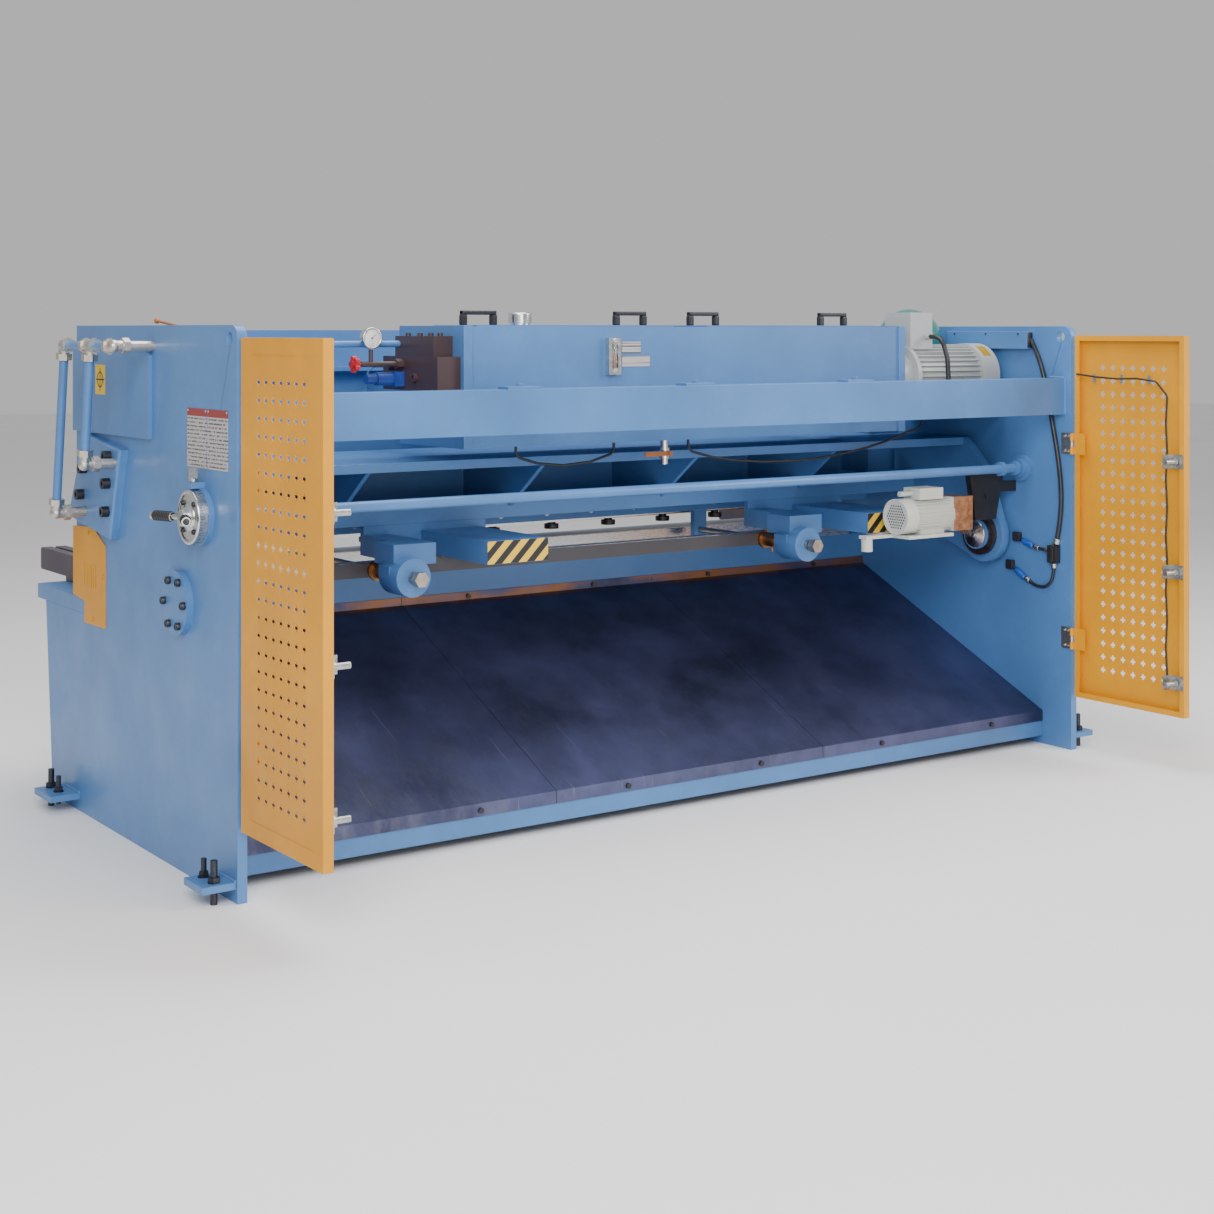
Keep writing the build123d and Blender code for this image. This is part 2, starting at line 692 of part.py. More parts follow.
def accumulator():
    x, d, radius = -1520, 708, 130
    vessel = rod_z(x, d, 1300, 1540, radius) + Pos(x, ahead(d), 1540) * Sphere(radius)
    return vessel + rod_z(x, d, 1285, 1300, 90)


def motor_hoses():
    """Conduit from the terminal box, and the suction hose slung below the tank."""
    x = tank_right - 150
    conduit = tube([(x, 360, 1560), (x, 300, 1560), (x, 270, 1480), (x, 262, 1380),
                    (x, 200, 1325), (x, 110, 1325)], 58, 9, "motor_conduit")
    lead = tube([(-164, 400, 1207), (-164, 400, 1165), (-270, 400, 1138), (-390, 400, 1121),
                 (-515, 400, 1112), (-640, 400, 1110), (-765, 400, 1115), (-890, 400, 1127),
                 (-1010, 400, 1146), (-1120, 400, 1170), (-1210, 400, 1196), (-1290, 400, 1216),
                 (-1290, 400, 1270)], 32, 4.5, "long_lead")
    short = tube([(547, 400, 1207), (547, 400, 1170), (460, 400, 1144), (360, 400, 1134),
                  (250, 400, 1142), (154, 400, 1168), (154, 400, 1207)], 28, 4.5, "short_lead")
    return group(conduit, lead, short)


def way_out(start, end, radius, prism):
    """Socket with a hexagon nut, leaving start towards end."""
    ax = Plane(origin=start, z_dir=end - start)
    socket = ax * Pos(0, 0, fitting_reach / 2) * Cylinder(radius, fitting_reach)
    nut = ax * Pos(0, 0, fitting_reach - 20) * extrude(RegularPolygon(prism, 6), 20)
    return socket + nut


def fitting(centre, ends):
    body = Pos(*centre) * Sphere(20)
    for end in ends:
        body += way_out(centre, end, 18, fitting_radius)
    return body


def pipe_points():
    """Centres of the feed elbow, the tee and the high and low elbows, on the +X side."""
    face = half_out + plate_thickness
    return {
        "feed": Vector(pipe_x, ahead(610), pipe_high),
        "tee": Vector(pipe_x, ahead(810), pipe_high),
        "top": Vector(pipe_x, ahead(1040), pipe_high),
        "inner": Vector(pipe_x, ahead(860), 1170),
        "outer": Vector(pipe_x, ahead(1120), 1000),
        "wall": Vector(half_out, ahead(610), pipe_high),
        "inner_port": Vector(face, ahead(860), 1170),
        "outer_port": Vector(face, ahead(1120), 1000),
    }


def pipe_fittings():
    p = pipe_points()
    shapes = [fitting(p["feed"], [p["wall"], p["tee"]]),
              fitting(p["tee"], [p["feed"], p["top"], p["inner"]]),
              fitting(p["top"], [p["tee"], p["outer"]]),
              fitting(p["inner"], [p["tee"], p["inner_port"]]),
              fitting(p["outer"], [p["top"], p["outer_port"]])]
    shapes[0] += rod_x(half_out, pipe_x - 40, 610, pipe_high, 16)
    shapes[3] += rod_x(half_out + plate_thickness, pipe_x - 40, 860, 1170, 16)
    shapes[4] += rod_x(half_out + plate_thickness, pipe_x - 40, 1120, 1000, 16)
    return group([s for shape in shapes for s in both(shape)])


def straight_pipe(start, end):
    along = (end - start).normalized()
    length = (end - start).length - 2 * fitting_reach
    return Plane(origin=start + along * fitting_reach, z_dir=along) * Pos(0, 0, length / 2) \
        * Cylinder(pipe_radius, length)


def cylinder_pipes():
    p = pipe_points()
    runs = [straight_pipe(p["feed"], p["tee"]), straight_pipe(p["tee"], p["top"]),
            straight_pipe(p["tee"], p["inner"]), straight_pipe(p["top"], p["outer"])]
    return group([s for run in runs for s in both(run)])


def wall_conduit():
    """Cable duct, conduit, junction box and two beam-position sensors on the -X plate."""
    x = -half_in
    duct = block(x, x + 30, 194, 623, 1512, 1581)
    run = tube([(x + 9, 194, 1549), (x + 9, 155, 1490), (x + 9, 122, 1395), (x + 9, 92, 1262),
                (x + 9, 60, 1125), (x + 9, 40, 990), (x + 9, 43, 870), (x + 9, 66, 770)],
               60, 9, "wall_conduit")
    box = block(x, x + 34, 52, 98, 700, 766)
    upper = tube([(x + 9, 98, 744), (x + 9, 150, 746), (x + 9, 200, 758), (x + 9, 248, 776)],
                 40, 6, "upper_lead")
    lower = tube([(x + 9, 76, 700), (x + 9, 78, 645), (x + 9, 110, 604), (x + 9, 165, 600),
                  (x + 9, 220, 626), (x + 9, 286, 666)], 40, 6, "lower_lead")
    shapes = [duct, box, run, upper, lower]
    for d, z in ((264, 783), (300, 672)):
        shapes.append(block(x, x + 18, d - 18, d + 18, z - 18, z + 18) - upper - lower)
    return group(shapes)


def grease_pump():
    body = block(half_in - 60, half_in, 470, 560, 1470, 1560)
    body += rod_z(half_in - 30, 515, 1390, 1470, 28)
    for x in (half_in - 42, half_in - 24):
        body += block(x, x + 6, 478, 502, 1560, 1600)
    body -= rod_x(half_in - 60, half_in - 10, 490, 1590, 3 + running)
    return body


def grease_lever():
    x = half_in - 30
    lever = block(x - 5.5, x + 5.5, 480, 520, 1582, 1598)
    lever += rod_x(x - 16, x + 16, 490, 1590, 3)
    slope = math.degrees(math.atan2(24, 245))
    stem = Pos(x, ahead(490), 1590) * Rot(90 - slope, 0, 0) * Pos(0, 0, 135) * Cylinder(4, 220)
    lever += stem
    lever += Pos(x, ahead(735), 1614) * Sphere(9)
    return lever


hinge_heights = (423, 1157)
sensor_heights = (327, 722, 1116)


def cross_hole():
    return Rectangle(22, 8) + Rectangle(8, 22)


def door():
    """Perforated safety wing, folded from sheet, seen with the wing swung right back."""
    low, high = door_bottom, door_bottom + door_height
    near = -(hinge_offset + hinge_gap)
    far = -door_rear
    pan = block(door_in, door_out, near, far, low, high)
    pan -= block(door_in + sheet, door_out - sheet, near - sheet, far + sheet,
                 low + sheet, high - sheet)
    pan -= block(door_in - 1, door_in + sheet + 1, near - 20, far + 20, low + 20, high - 20)
    holes = [Pos(46.3 * i, 48.9 * j) * cross_hole() for i in range(-3, 4) for j in range(24)]
    cutter = extrude(Sketch() + holes, 3 * sheet)
    first = (door_out - 2 * sheet, ahead((near + far) / 2), low + 115)
    wall = Plane(origin=first, x_dir=(0, 1, 0), z_dir=(1, 0, 0))
    pan -= wall * cutter
    for z in (low + 48, high - 48):
        pan -= block(door_out - 1, door_out + 1, near - 60, far + 60, z - 3, z + 3)
    for z in hinge_heights:
        pan += block(door_in - sheet, door_in, near, near - 50, z - 40, z + 40)
        pan += knuckle(z + 13, z + 39) + knuckle(z - 39, z - 13)
    return pan


def knuckle(low, high):
    barrel = rod_z(hinge_x, -hinge_offset, low, high, 7)
    barrel += block(hinge_x, door_in, -hinge_offset - 7, -hinge_offset - hinge_gap - 4, low, high)
    return barrel - rod_z(hinge_x, -hinge_offset, low - 1, high + 1, 3 + running)


def frame_hinges():
    shapes = []
    for z in hinge_heights:
        leaf = block(half_in - 4, half_in, 0, 45, z - 40, z + 40)
        leaf += rod_z(hinge_x, -hinge_offset, z - 12, z + 12, 7)
        leaf += block(hinge_x - 2, half_in, -hinge_offset + 5, 8, z - 12, z + 12)
        leaf += rod_z(hinge_x, -hinge_offset, z - 40, z + 40, 3)
        shapes.extend(both(leaf))
    return group(shapes)


def wing_sensors():
    """Light-barrier heads on small brackets near the free edge of a wing."""
    shapes = []
    for z in sensor_heights:
        bracket = block(door_in - 3, door_in, -458, -518, z - 25, z + 25)
        bracket += block(door_in - 40, door_in - 3, -458, -461, z - 25, z + 25)
        head = rod_x(door_in - 3, door_in - 62, -488, z, 9)
        head += hex_x(door_in - 18, door_in - 8, -488, z, 14)
        shapes.append(bracket + head)
    return group(shapes)


def door_cable():
    """Sensor cable on the -X wing: along the top, then down past the three heads."""
    x = -(door_in - 4)
    points = [(x, -32, 1420), (x, -125, 1411), (x, -220, 1406), (x, -315, 1409), (x, -400, 1400)]
    for i in range(11):
        wave = 3 if i % 2 else -3
        points.append((x, -447 + wave, 1350 - 100 * i))
    return tube(points, 28, 3.5, "door_cable")


makers = {
    "side_plate_left": side_plate,
    "side_plate_right": lambda: mirrored(side_plate()),
    "cross_beams": cross_beams,
    "bed": bed,
    "lower_blade": lower_blade,
    "support_arms": support_arms,
    "front_beam": front_beam,
    "front_guard": front_guard,
    "side_guards": side_guards,
    "floor_bolts": floor_bolts,
    "chute_sheets": chute_sheets,
    "cap_screws": cap_screws,
    "cylinder_units": cylinder_units,
    "ram_left": ram,
    "ram_right": lambda: mirrored(ram()),
    "pivot_pins": pivot_pins,
    "gap_disc_left": gap_disc,
    "gap_disc_right": lambda: mirrored(gap_disc()),
    "swing_beam": swing_beam,
    "upper_blade": upper_blade,
    "gauge_arms": gauge_arms,
    "gauge_motor": gauge_motor,
    "gauge_bar": gauge_bar,
    "gauge_nuts": gauge_nuts,
    "lead_screw_left": lambda: lead_screw(screw_xs[0]),
    "lead_screw_right": lambda: lead_screw(screw_xs[1]),
    "holddown_feet": holddown_feet,
    "gap_shaft": gap_shaft,
    "gap_dial": gap_dial,
    "shaft_bearings": shaft_bearings,
    "gap_knob": gap_knob,
    "drive_cover": drive_cover,
    "oil_tank": oil_tank,
    "tank_lid_left": lambda: tank_lid(lid_middles()[0]),
    "tank_lid_right": lambda: tank_lid(lid_middles()[1]),
    "filler_cap": filler_cap,
    "tank_brackets": tank_brackets,
    "level_gauge": level_gauge,
    "nameplates": nameplates,
    "drain_valve": drain_valve,
    "drain_lever": drain_lever,
    "valve_manifold": valve_manifold,
    "solenoid_valve": solenoid_valve,
    "pressure_gauge": pressure_gauge,
    "isolator_handwheel": isolator_handwheel,
    "manifold_pipes": manifold_pipes,
    "pump_motor": pump_motor,
    "accumulator": accumulator,
    "motor_hoses": motor_hoses,
    "cylinder_pipes": cylinder_pipes,
    "pipe_fittings": pipe_fittings,
    "wall_conduit": wall_conduit,
    "grease_pump": grease_pump,
    "grease_lever": grease_lever,
    "left_door": door,
    "right_door": lambda: mirrored(door()),
    "frame_hinges": frame_hinges,
    "wing_sensors_left": wing_sensors,
    "wing_sensors_right": lambda: mirrored(wing_sensors()),
    "door_cable": door_cable,
}

os.makedirs("parts", exist_ok=True)
for name, make in makers.items():
    export_step(make(), "parts/" + name + ".step")
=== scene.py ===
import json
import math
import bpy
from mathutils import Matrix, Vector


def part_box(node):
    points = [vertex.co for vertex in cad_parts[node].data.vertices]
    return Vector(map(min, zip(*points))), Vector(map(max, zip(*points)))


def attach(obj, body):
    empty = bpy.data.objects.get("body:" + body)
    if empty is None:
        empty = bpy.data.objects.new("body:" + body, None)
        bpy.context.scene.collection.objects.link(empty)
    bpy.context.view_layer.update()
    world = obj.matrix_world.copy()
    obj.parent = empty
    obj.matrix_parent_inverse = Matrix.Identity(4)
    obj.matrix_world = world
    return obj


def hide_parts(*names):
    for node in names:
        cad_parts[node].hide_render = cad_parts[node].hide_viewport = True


bl_info = {
    "name": "Plate Shear Finisher",
    "version": (1, 0, 0),
    "blender": (4, 5, 0),
    "location": "View3D > Sidebar > Plate Shear",
    "description": "Paints a plate shear and adds its handles, gauges, marks, bolts and weld beads",
    "category": "Object",
}

import bmesh
import bpy
from bpy.props import FloatProperty, FloatVectorProperty, IntProperty, PointerProperty
from mathutils import Matrix, Vector

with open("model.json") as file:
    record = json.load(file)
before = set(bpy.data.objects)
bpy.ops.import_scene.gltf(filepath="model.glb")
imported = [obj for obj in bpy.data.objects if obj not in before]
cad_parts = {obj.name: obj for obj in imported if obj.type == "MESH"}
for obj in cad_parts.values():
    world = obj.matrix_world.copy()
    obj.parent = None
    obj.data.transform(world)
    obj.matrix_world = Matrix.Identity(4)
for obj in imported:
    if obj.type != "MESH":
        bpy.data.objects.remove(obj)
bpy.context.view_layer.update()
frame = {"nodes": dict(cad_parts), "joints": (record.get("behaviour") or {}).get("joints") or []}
MM = 0.001

# Sizes that the frame's boxes don't give
TIE_BOTTOM = 1266 * MM         # rear tie beam
TIE_TOP = 1404 * MM
HINGE_LEVELS = (423 * MM, 1157 * MM)
DRUM_THICKNESS = 26 * MM       # gap dial
DRUM_RADIUS = 79 * MM
PAD_REACH = 100 * MM           # floor pads, out from the side plates
BOLT_CIRCLE = 73 * MM          # bolts of the pivot flanges
PUMP_MOTOR_AXIS = 1410 * MM
FAN_FROM_SCREW = 275 * MM      # gauge motor's fan end, beside the -X lead screw
GEARBOX_FROM_FAN = 250 * MM
FAN_PLACE = (250, 897)         # mm ahead of the rear edge, and mm above the floor
LABEL_PLACE = (1027.5, 1427.5)


def corners(node):
    """Lowest and highest corner of a node as vectors."""
    low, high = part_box(node)
    return Vector(low), Vector(high)


def joint_at(name):
    """The point that a joint turns about."""
    for joint in frame["joints"]:
        if joint["name"] == name:
            return Vector(joint["pos_m"])
    raise RuntimeError("no joint named " + name)


def ahead(distance):
    """y of a point this many millimetres in front of the side plates' rear edge."""
    return corners("side_plate_left")[1].y - distance * MM


# ---------------------------------------------------------------- settings

class ShearPaint(bpy.types.PropertyGroup):
    body: FloatVectorProperty(name="Body", description="Paint of the welded frame", subtype="COLOR",
                              size=3, min=0, max=1, default=(0.070, 0.190, 0.430))
    guard: FloatVectorProperty(name="Guards", description="Paint of wings and covers", subtype="COLOR",
                               size=3, min=0, max=1, default=(0.68, 0.285, 0.0))
    chute: FloatVectorProperty(name="Chute", description="Worn sheet steel of the chute",
                               subtype="COLOR", size=3, min=0, max=1, default=(0.062, 0.066, 0.130))
    vessel: FloatVectorProperty(name="Accumulator", description="Gloss paint of the vessel",
                                subtype="COLOR", size=3, min=0, max=1, default=(0.01, 0.16, 0.15))


class ShearDetail(bpy.types.PropertyGroup):
    edge: FloatProperty(name="Edge", description="Rounding of plate edges", unit="LENGTH",
                        default=1.2 * MM, min=0)
    bead: FloatProperty(name="Weld bead", description="Radius of the weld beads", unit="LENGTH",
                        default=4.5 * MM, min=0)
    grip: FloatProperty(name="Grip", description="Radius of the lever grips", unit="LENGTH",
                        default=15 * MM, min=0)
    ticks: IntProperty(name="Ticks", description="Graduations on the dial drum", default=60, min=12)
    stripe: FloatProperty(name="Stripe", description="Width of the hazard stripes", unit="LENGTH",
                          default=22 * MM, min=0)


class ShearStage(bpy.types.PropertyGroup):
    lens: FloatProperty(name="Lens", description="Focal length", unit="CAMERA", default=56.58)
    eye: FloatVectorProperty(name="Eye", description="Camera position", subtype="TRANSLATION",
                             size=3, default=(3.887, 5.607, 1.586))
    heading: FloatProperty(name="Heading", description="Turn of the camera about the vertical",
                           subtype="ANGLE", default=math.radians(145.03))
    power: FloatProperty(name="Power", description="Strength of the main light", unit="POWER",
                         default=400)


# ---------------------------------------------------------------- materials

def fresh(name, roughness, metallic=0.0, coat=0.0):
    """A new material, with its node tree, its shader and the object coordinates."""
    mat = bpy.data.materials.new(name)
    mat.use_nodes = True
    tree = mat.node_tree
    shader = tree.nodes["Principled BSDF"]
    shader.inputs["Roughness"].default_value = roughness
    shader.inputs["Metallic"].default_value = metallic
    shader.inputs["Coat Weight"].default_value = coat
    coords = tree.nodes.new("ShaderNodeTexCoord")
    return mat, tree, shader, coords.outputs["Object"]


def scaled(tree, coords, scale):
    mapping = tree.nodes.new("ShaderNodeMapping")
    mapping.inputs["Scale"].default_value = scale
    tree.links.new(coords, mapping.inputs["Vector"])
    return mapping.outputs["Vector"]


def noise(tree, vector, scale, detail=4.0, rough=0.55):
    node = tree.nodes.new("ShaderNodeTexNoise")
    node.inputs["Scale"].default_value = scale
    node.inputs["Detail"].default_value = detail
    node.inputs["Roughness"].default_value = rough
    tree.links.new(vector, node.inputs["Vector"])
    return node.outputs["Fac"]


def ramp(tree, fac, stops):
    """Colour ramp over fac, with stops as (place, colour)."""
    node = tree.nodes.new("ShaderNodeValToRGB")
    elements = node.color_ramp.elements
    while len(elements) < len(stops):
        elements.new(0.5)
    for element, (place, colour) in zip(elements, stops):
        element.position = place
        element.color = (*colour, 1.0) if len(colour) == 3 else colour
    tree.links.new(fac, node.inputs["Fac"])
    return node.outputs["Color"]


def blend(tree, fac, a, b):
    """Mix of two colours or colour sockets by fac."""
    node = tree.nodes.new("ShaderNodeMix")
    node.data_type = "RGBA"
    tree.links.new(fac, node.inputs["Factor"])
    for value, socket in ((a, node.inputs[6]), (b, node.inputs[7])):
        if isinstance(value, tuple):
            socket.default_value = (*value, 1.0)
        else:
            tree.links.new(value, socket)
    return node.outputs[2]


def maths(tree, operation, a, b=None):
    node = tree.nodes.new("ShaderNodeMath")
    node.operation = operation
    for value, socket in ((a, node.inputs[0]), (b, node.inputs[1])):
        if value is None:
            continue
        if isinstance(value, (int, float)):
            socket.default_value = value
        else:
            tree.links.new(value, socket)
    return node.outputs[0]


def relief(tree, shader, height, strength, distance):
    bump = tree.nodes.new("ShaderNodeBump")
    bump.inputs["Strength"].default_value = strength
    bump.inputs["Distance"].default_value = distance
    tree.links.new(height, bump.inputs["Height"])
    tree.links.new(bump.outputs["Normal"], shader.inputs["Normal"])


def axes(tree, coords):
    """The X, Y and Z of a place as sockets."""
    split = tree.nodes.new("ShaderNodeSeparateXYZ")
    tree.links.new(coords, split.inputs["Vector"])
    return split.outputs


def span(tree, value, start, stop):
    """Runs from 0 where value is start to 1 where it is stop."""
    node = tree.nodes.new("ShaderNodeMapRange")
    node.inputs["From Min"].default_value = start
    node.inputs["From Max"].default_value = stop
    tree.links.new(value, node.inputs["Value"])
    return node.outputs["Result"]


def shade(colour, factor):
    return tuple(min(1.0, channel * factor) for channel in colour)


def paint(name, colour, roughness=0.38, wear=0.55, coat=0.15):
    """Rolled-on machine paint: slow tone change, dust, orange peel and a few bare rubbed spots."""
    mat, tree, shader, coords = fresh(name, roughness, coat=coat)
    slow = noise(tree, coords, 1.7, 5.0)
    tone = ramp(tree, slow, [(0.30, shade(colour, 0.84)), (0.70, shade(colour, 1.13))])
    dust = ramp(tree, noise(tree, coords, 9.0, 8.0, 0.7), [(0.52, (0, 0, 0)), (0.86, (0.30,) * 3)])
    tone = blend(tree, dust, tone, shade(colour, 1.6))
    spots = ramp(tree, noise(tree, coords, 46.0, 9.0, 0.75), [(0.735, (0, 0, 0)), (0.76, (wear,) * 3)])
    tone = blend(tree, spots, tone, shade(colour, 0.45))
    tree.links.new(tone, shader.inputs["Base Color"])
    gloss = ramp(tree, noise(tree, coords, 5.0, 6.0), [(0.3, (roughness - 0.07,) * 3),
                                                      (0.7, (roughness + 0.12,) * 3)])
    tree.links.new(gloss, shader.inputs["Roughness"])
    relief(tree, shader, noise(tree, coords, 260.0, 2.0), 0.22, 0.4 * MM)
    return mat


def metal(name, colour, roughness=0.30, stretch=(1, 1, 1), grain=90.0, stain=0.25):
    """Machined or plated steel, with its grain drawn out along one axis, and faint stains."""
    mat, tree, shader, coords = fresh(name, roughness, metallic=1.0)
    lines = noise(tree, scaled(tree, coords, stretch), grain, 6.0, 0.7)
    tone = ramp(tree, lines, [(0.25, shade(colour, 0.72)), (0.75, shade(colour, 1.18))])
    marks = ramp(tree, noise(tree, coords, 14.0, 8.0, 0.7), [(0.55, (0, 0, 0)), (0.8, (stain,) * 3)])
    tone = blend(tree, marks, tone, (0.16, 0.11, 0.07))
    tree.links.new(tone, shader.inputs["Base Color"])
    gloss = ramp(tree, lines, [(0.2, (roughness - 0.08,) * 3), (0.8, (roughness + 0.16,) * 3)])
    tree.links.new(gloss, shader.inputs["Roughness"])
    relief(tree, shader, lines, 0.25, 0.2 * MM)
    return mat


def plastic(name, colour, roughness=0.45, grain=900.0):
    """Moulded plastic or rubber with a fine grain and greyed patches."""
    mat, tree, shader, coords = fresh(name, roughness)
    tone = ramp(tree, noise(tree, coords, 22.0, 6.0), [(0.35, shade(colour, 0.8)),
                                                      (0.75, shade(colour, 1.5))])
    tree.links.new(tone, shader.inputs["Base Color"])
    relief(tree, shader, noise(tree, coords, grain, 2.0), 0.3, 0.2 * MM)
    return mat


def worn_chute(colour):
    """Dark sheet steel, scuffed bright by sliding plates, with long scratches down the slope."""
    mat, tree, shader, coords = fresh("chute_steel", 0.42, metallic=0.75)
    cloud = ramp(tree, noise(tree, coords, 1.5, 7.0, 0.62), [(0.34, shade(colour, 0.65)),
                                                            (0.72, shade(colour, 2.3))])
    low, high = corners("chute_sheets")
    place = axes(tree, coords)
    rub = span(tree, place["Z"], high.z * 0.75, low.z)
    zone = maths(tree, "MULTIPLY", rub, span(tree, place["X"], -1.2, 1.0))
    smear = noise(tree, scaled(tree, coords, (2.2, 1.0, 1.0)), 3.4, 10.0, 0.72)
    scuff = ramp(tree, smear, [(0.46, (0, 0, 0)), (0.80, (0.85,) * 3)])
    scuff = maths(tree, "MULTIPLY", scuff, zone)
    tone = blend(tree, scuff, cloud, (0.22, 0.23, 0.28))
    scratch = noise(tree, scaled(tree, coords, (34.0, 1.2, 1.2)), 1.7, 5.0, 0.6)
    scratch = ramp(tree, scratch, [(0.66, (0, 0, 0)), (0.70, (0.55,) * 3)])
    scratch = maths(tree, "MULTIPLY", scratch, zone)
    tone = blend(tree, scratch, tone, (0.38, 0.38, 0.42))
    seam = maths(tree, "GREATER_THAN", place["Z"], high.z - 36 * MM)
    rusty = noise(tree, scaled(tree, coords, (1.2, 4, 4)), 3.0, 6.0)
    rusty = ramp(tree, rusty, [(0.40, (0, 0, 0)), (0.62, (0.9,) * 3)])
    tone = blend(tree, maths(tree, "MULTIPLY", seam, rusty), tone, (0.30, 0.13, 0.05))
    rust = ramp(tree, noise(tree, coords, 6.0, 9.0, 0.7), [(0.66, (0, 0, 0)), (0.80, (0.5,) * 3)])
    tone = blend(tree, rust, tone, (0.075, 0.050, 0.048))
    tree.links.new(tone, shader.inputs["Base Color"])
    gloss = ramp(tree, smear, [(0.3, (0.50,) * 3), (0.75, (0.26,) * 3)])
    tree.links.new(gloss, shader.inputs["Roughness"])
    relief(tree, shader, smear, 0.18, 0.8 * MM)
    return mat


def hazard(width):
    """Slanting yellow and black stripes with chipped paint."""
    mat, tree, shader, coords = fresh("hazard_stripes", 0.45)
    place = axes(tree, coords)
    slant = maths(tree, "ADD", place["X"], place["Z"])
    slant = maths(tree, "DIVIDE", slant, 2 * width * math.sqrt(2))
    bars = maths(tree, "GREATER_THAN", maths(tree, "FRACT", slant), 0.5)
    tone = blend(tree, bars, (0.80, 0.50, 0.03), (0.014, 0.014, 0.016))
    chips = ramp(tree, noise(tree, coords, 60.0, 8.0, 0.7), [(0.66, (0, 0, 0)), (0.69, (0.8,) * 3)])
    tone = blend(tree, chips, tone, (0.20, 0.23, 0.26))
    tree.links.new(tone, shader.inputs["Base Color"])
    relief(tree, shader, noise(tree, coords, 300.0, 2.0), 0.2, 0.3 * MM)
    return mat


def printed():
    """Plates with plain rows of marks: a dark band on top and grey lines below."""
    mat, tree, shader, coords = fresh("plate_print", 0.35, metallic=0.25)
    place = axes(tree, coords)
    rows = maths(tree, "FRACT", maths(tree, "MULTIPLY", place["Z"], 90.0))
    rows = maths(tree, "GREATER_THAN", rows, 0.55)
    words = ramp(tree, noise(tree, scaled(tree, coords, (1, 90, 90)), 1.3, 2.0),
                 [(0.42, (0, 0, 0)), (0.50, (1, 1, 1))])
    marks = maths(tree, "MULTIPLY", rows, words)
    tone = blend(tree, marks, (0.50, 0.47, 0.46), (0.10, 0.09, 0.10))
    high = corners("nameplates")[1].z
    band = maths(tree, "GREATER_THAN", place["Z"], 1338 * MM)
    low_enough = maths(tree, "LESS_THAN", place["Z"], min(high, 1362 * MM))
    band = maths(tree, "MULTIPLY", band, low_enough)
    tone = blend(tree, band, tone, (0.30, 0.035, 0.03))
    warning = maths(tree, "GREATER_THAN", place["Z"], 1370 * MM)
    outer = maths(tree, "GREATER_THAN", place["X"], 1.6)
    warning = maths(tree, "MULTIPLY", warning, outer)
    tone = blend(tree, warning, tone, (0.85, 0.55, 0.01))
    tree.links.new(tone, shader.inputs["Base Color"])
    relief(tree, shader, noise(tree, coords, 400.0, 2.0), 0.1, 0.1 * MM)
    return mat


def lid_paint(colour):
    """Lid paint that gives way to black rubber on the bridge handles."""
    mat = paint("lid_paint", colour)
    tree = mat.node_tree
    shader = tree.nodes["Principled BSDF"]
    tone = shader.inputs["Base Color"].links[0].from_socket
    place = axes(tree, tree.nodes.new("ShaderNodeTexCoord").outputs["Object"])
    plate_top = corners("tank_lid_left")[0].z + 6.5 * MM
    above = maths(tree, "GREATER_THAN", place["Z"], plate_top)
    tree.links.new(blend(tree, above, tone, (0.012, 0.012, 0.014)), shader.inputs["Base Color"])
    return mat


def motor_paint(name, colour, casting, limit):
    """Motor paint that gives way to a bare casting beyond limit, towards -X."""
    mat = paint(name, colour, 0.34, 0.35)
    tree = mat.node_tree
    shader = tree.nodes["Principled BSDF"]
    tone = shader.inputs["Base Color"].links[0].from_socket
    coords = tree.nodes.new("ShaderNodeTexCoord").outputs["Object"]
    place = axes(tree, coords)
    beyond = maths(tree, "LESS_THAN", place["X"], limit)
    cast = ramp(tree, noise(tree, coords, 38.0, 7.0, 0.7), [(0.35, shade(casting, 0.6)),
                                                           (0.70, shade(casting, 1.6))])
    tree.links.new(blend(tree, beyond, tone, cast), shader.inputs["Base Color"])
    tree.links.new(maths(tree, "MULTIPLY", beyond, 0.8), shader.inputs["Metallic"])
    return mat


def clear_glass():
    mat, tree, shader, coords = fresh("sight_glass", 0.06)
    shader.inputs["Transmission Weight"].default_value = 0.85
    shader.inputs["IOR"].default_value = 1.47
    tone = ramp(tree, noise(tree, coords, 40.0), [(0.3, (0.86, 0.90, 0.88)), (0.8, (0.95, 0.97, 0.96))])
    tree.links.new(tone, shader.inputs["Base Color"])
    return mat


def floor_finish():
    """Pale matt floor with a barely visible change of tone."""
    mat, tree, shader, coords = fresh("floor_pale", 0.95)
    tone = ramp(tree, noise(tree, coords, 0.5, 2.0), [(0.3, (0.86,) * 3), (0.7, (0.90,) * 3)])
    tree.links.new(tone, shader.inputs["Base Color"])
    return mat


# ---------------------------------------------------------------- modelling helpers

def finish(bm, name, body, mat, bevel=0.0, segments=2):
    """Turns a bmesh into a piece that rides on a body and takes a slot's finish."""
    bmesh.ops.recalc_face_normals(bm, faces=bm.faces)
    mesh = bpy.data.meshes.new(name)
    bm.to_mesh(mesh)
    bm.free()
    mesh.materials.append(mat)
    piece = bpy.data.objects.new(name, mesh)
    bpy.context.scene.collection.objects.link(piece)
    if bevel:
        soft = piece.modifiers.new("edge", "BEVEL")
        soft.width = bevel
        soft.segments = segments
        soft.limit_method = "ANGLE"
    for polygon in mesh.polygons:
        polygon.use_smooth = len(polygon.vertices) == 4 and not bevel
    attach(piece, body)
    return piece


def add_box(bm, low, high):
    """A box between two corners."""
    made = bmesh.ops.create_cube(bm, size=1.0)["verts"]
    bmesh.ops.scale(bm, verts=made, vec=Vector(high) - Vector(low))
    bmesh.ops.translate(bm, verts=made, vec=(Vector(high) + Vector(low)) / 2)
    return made


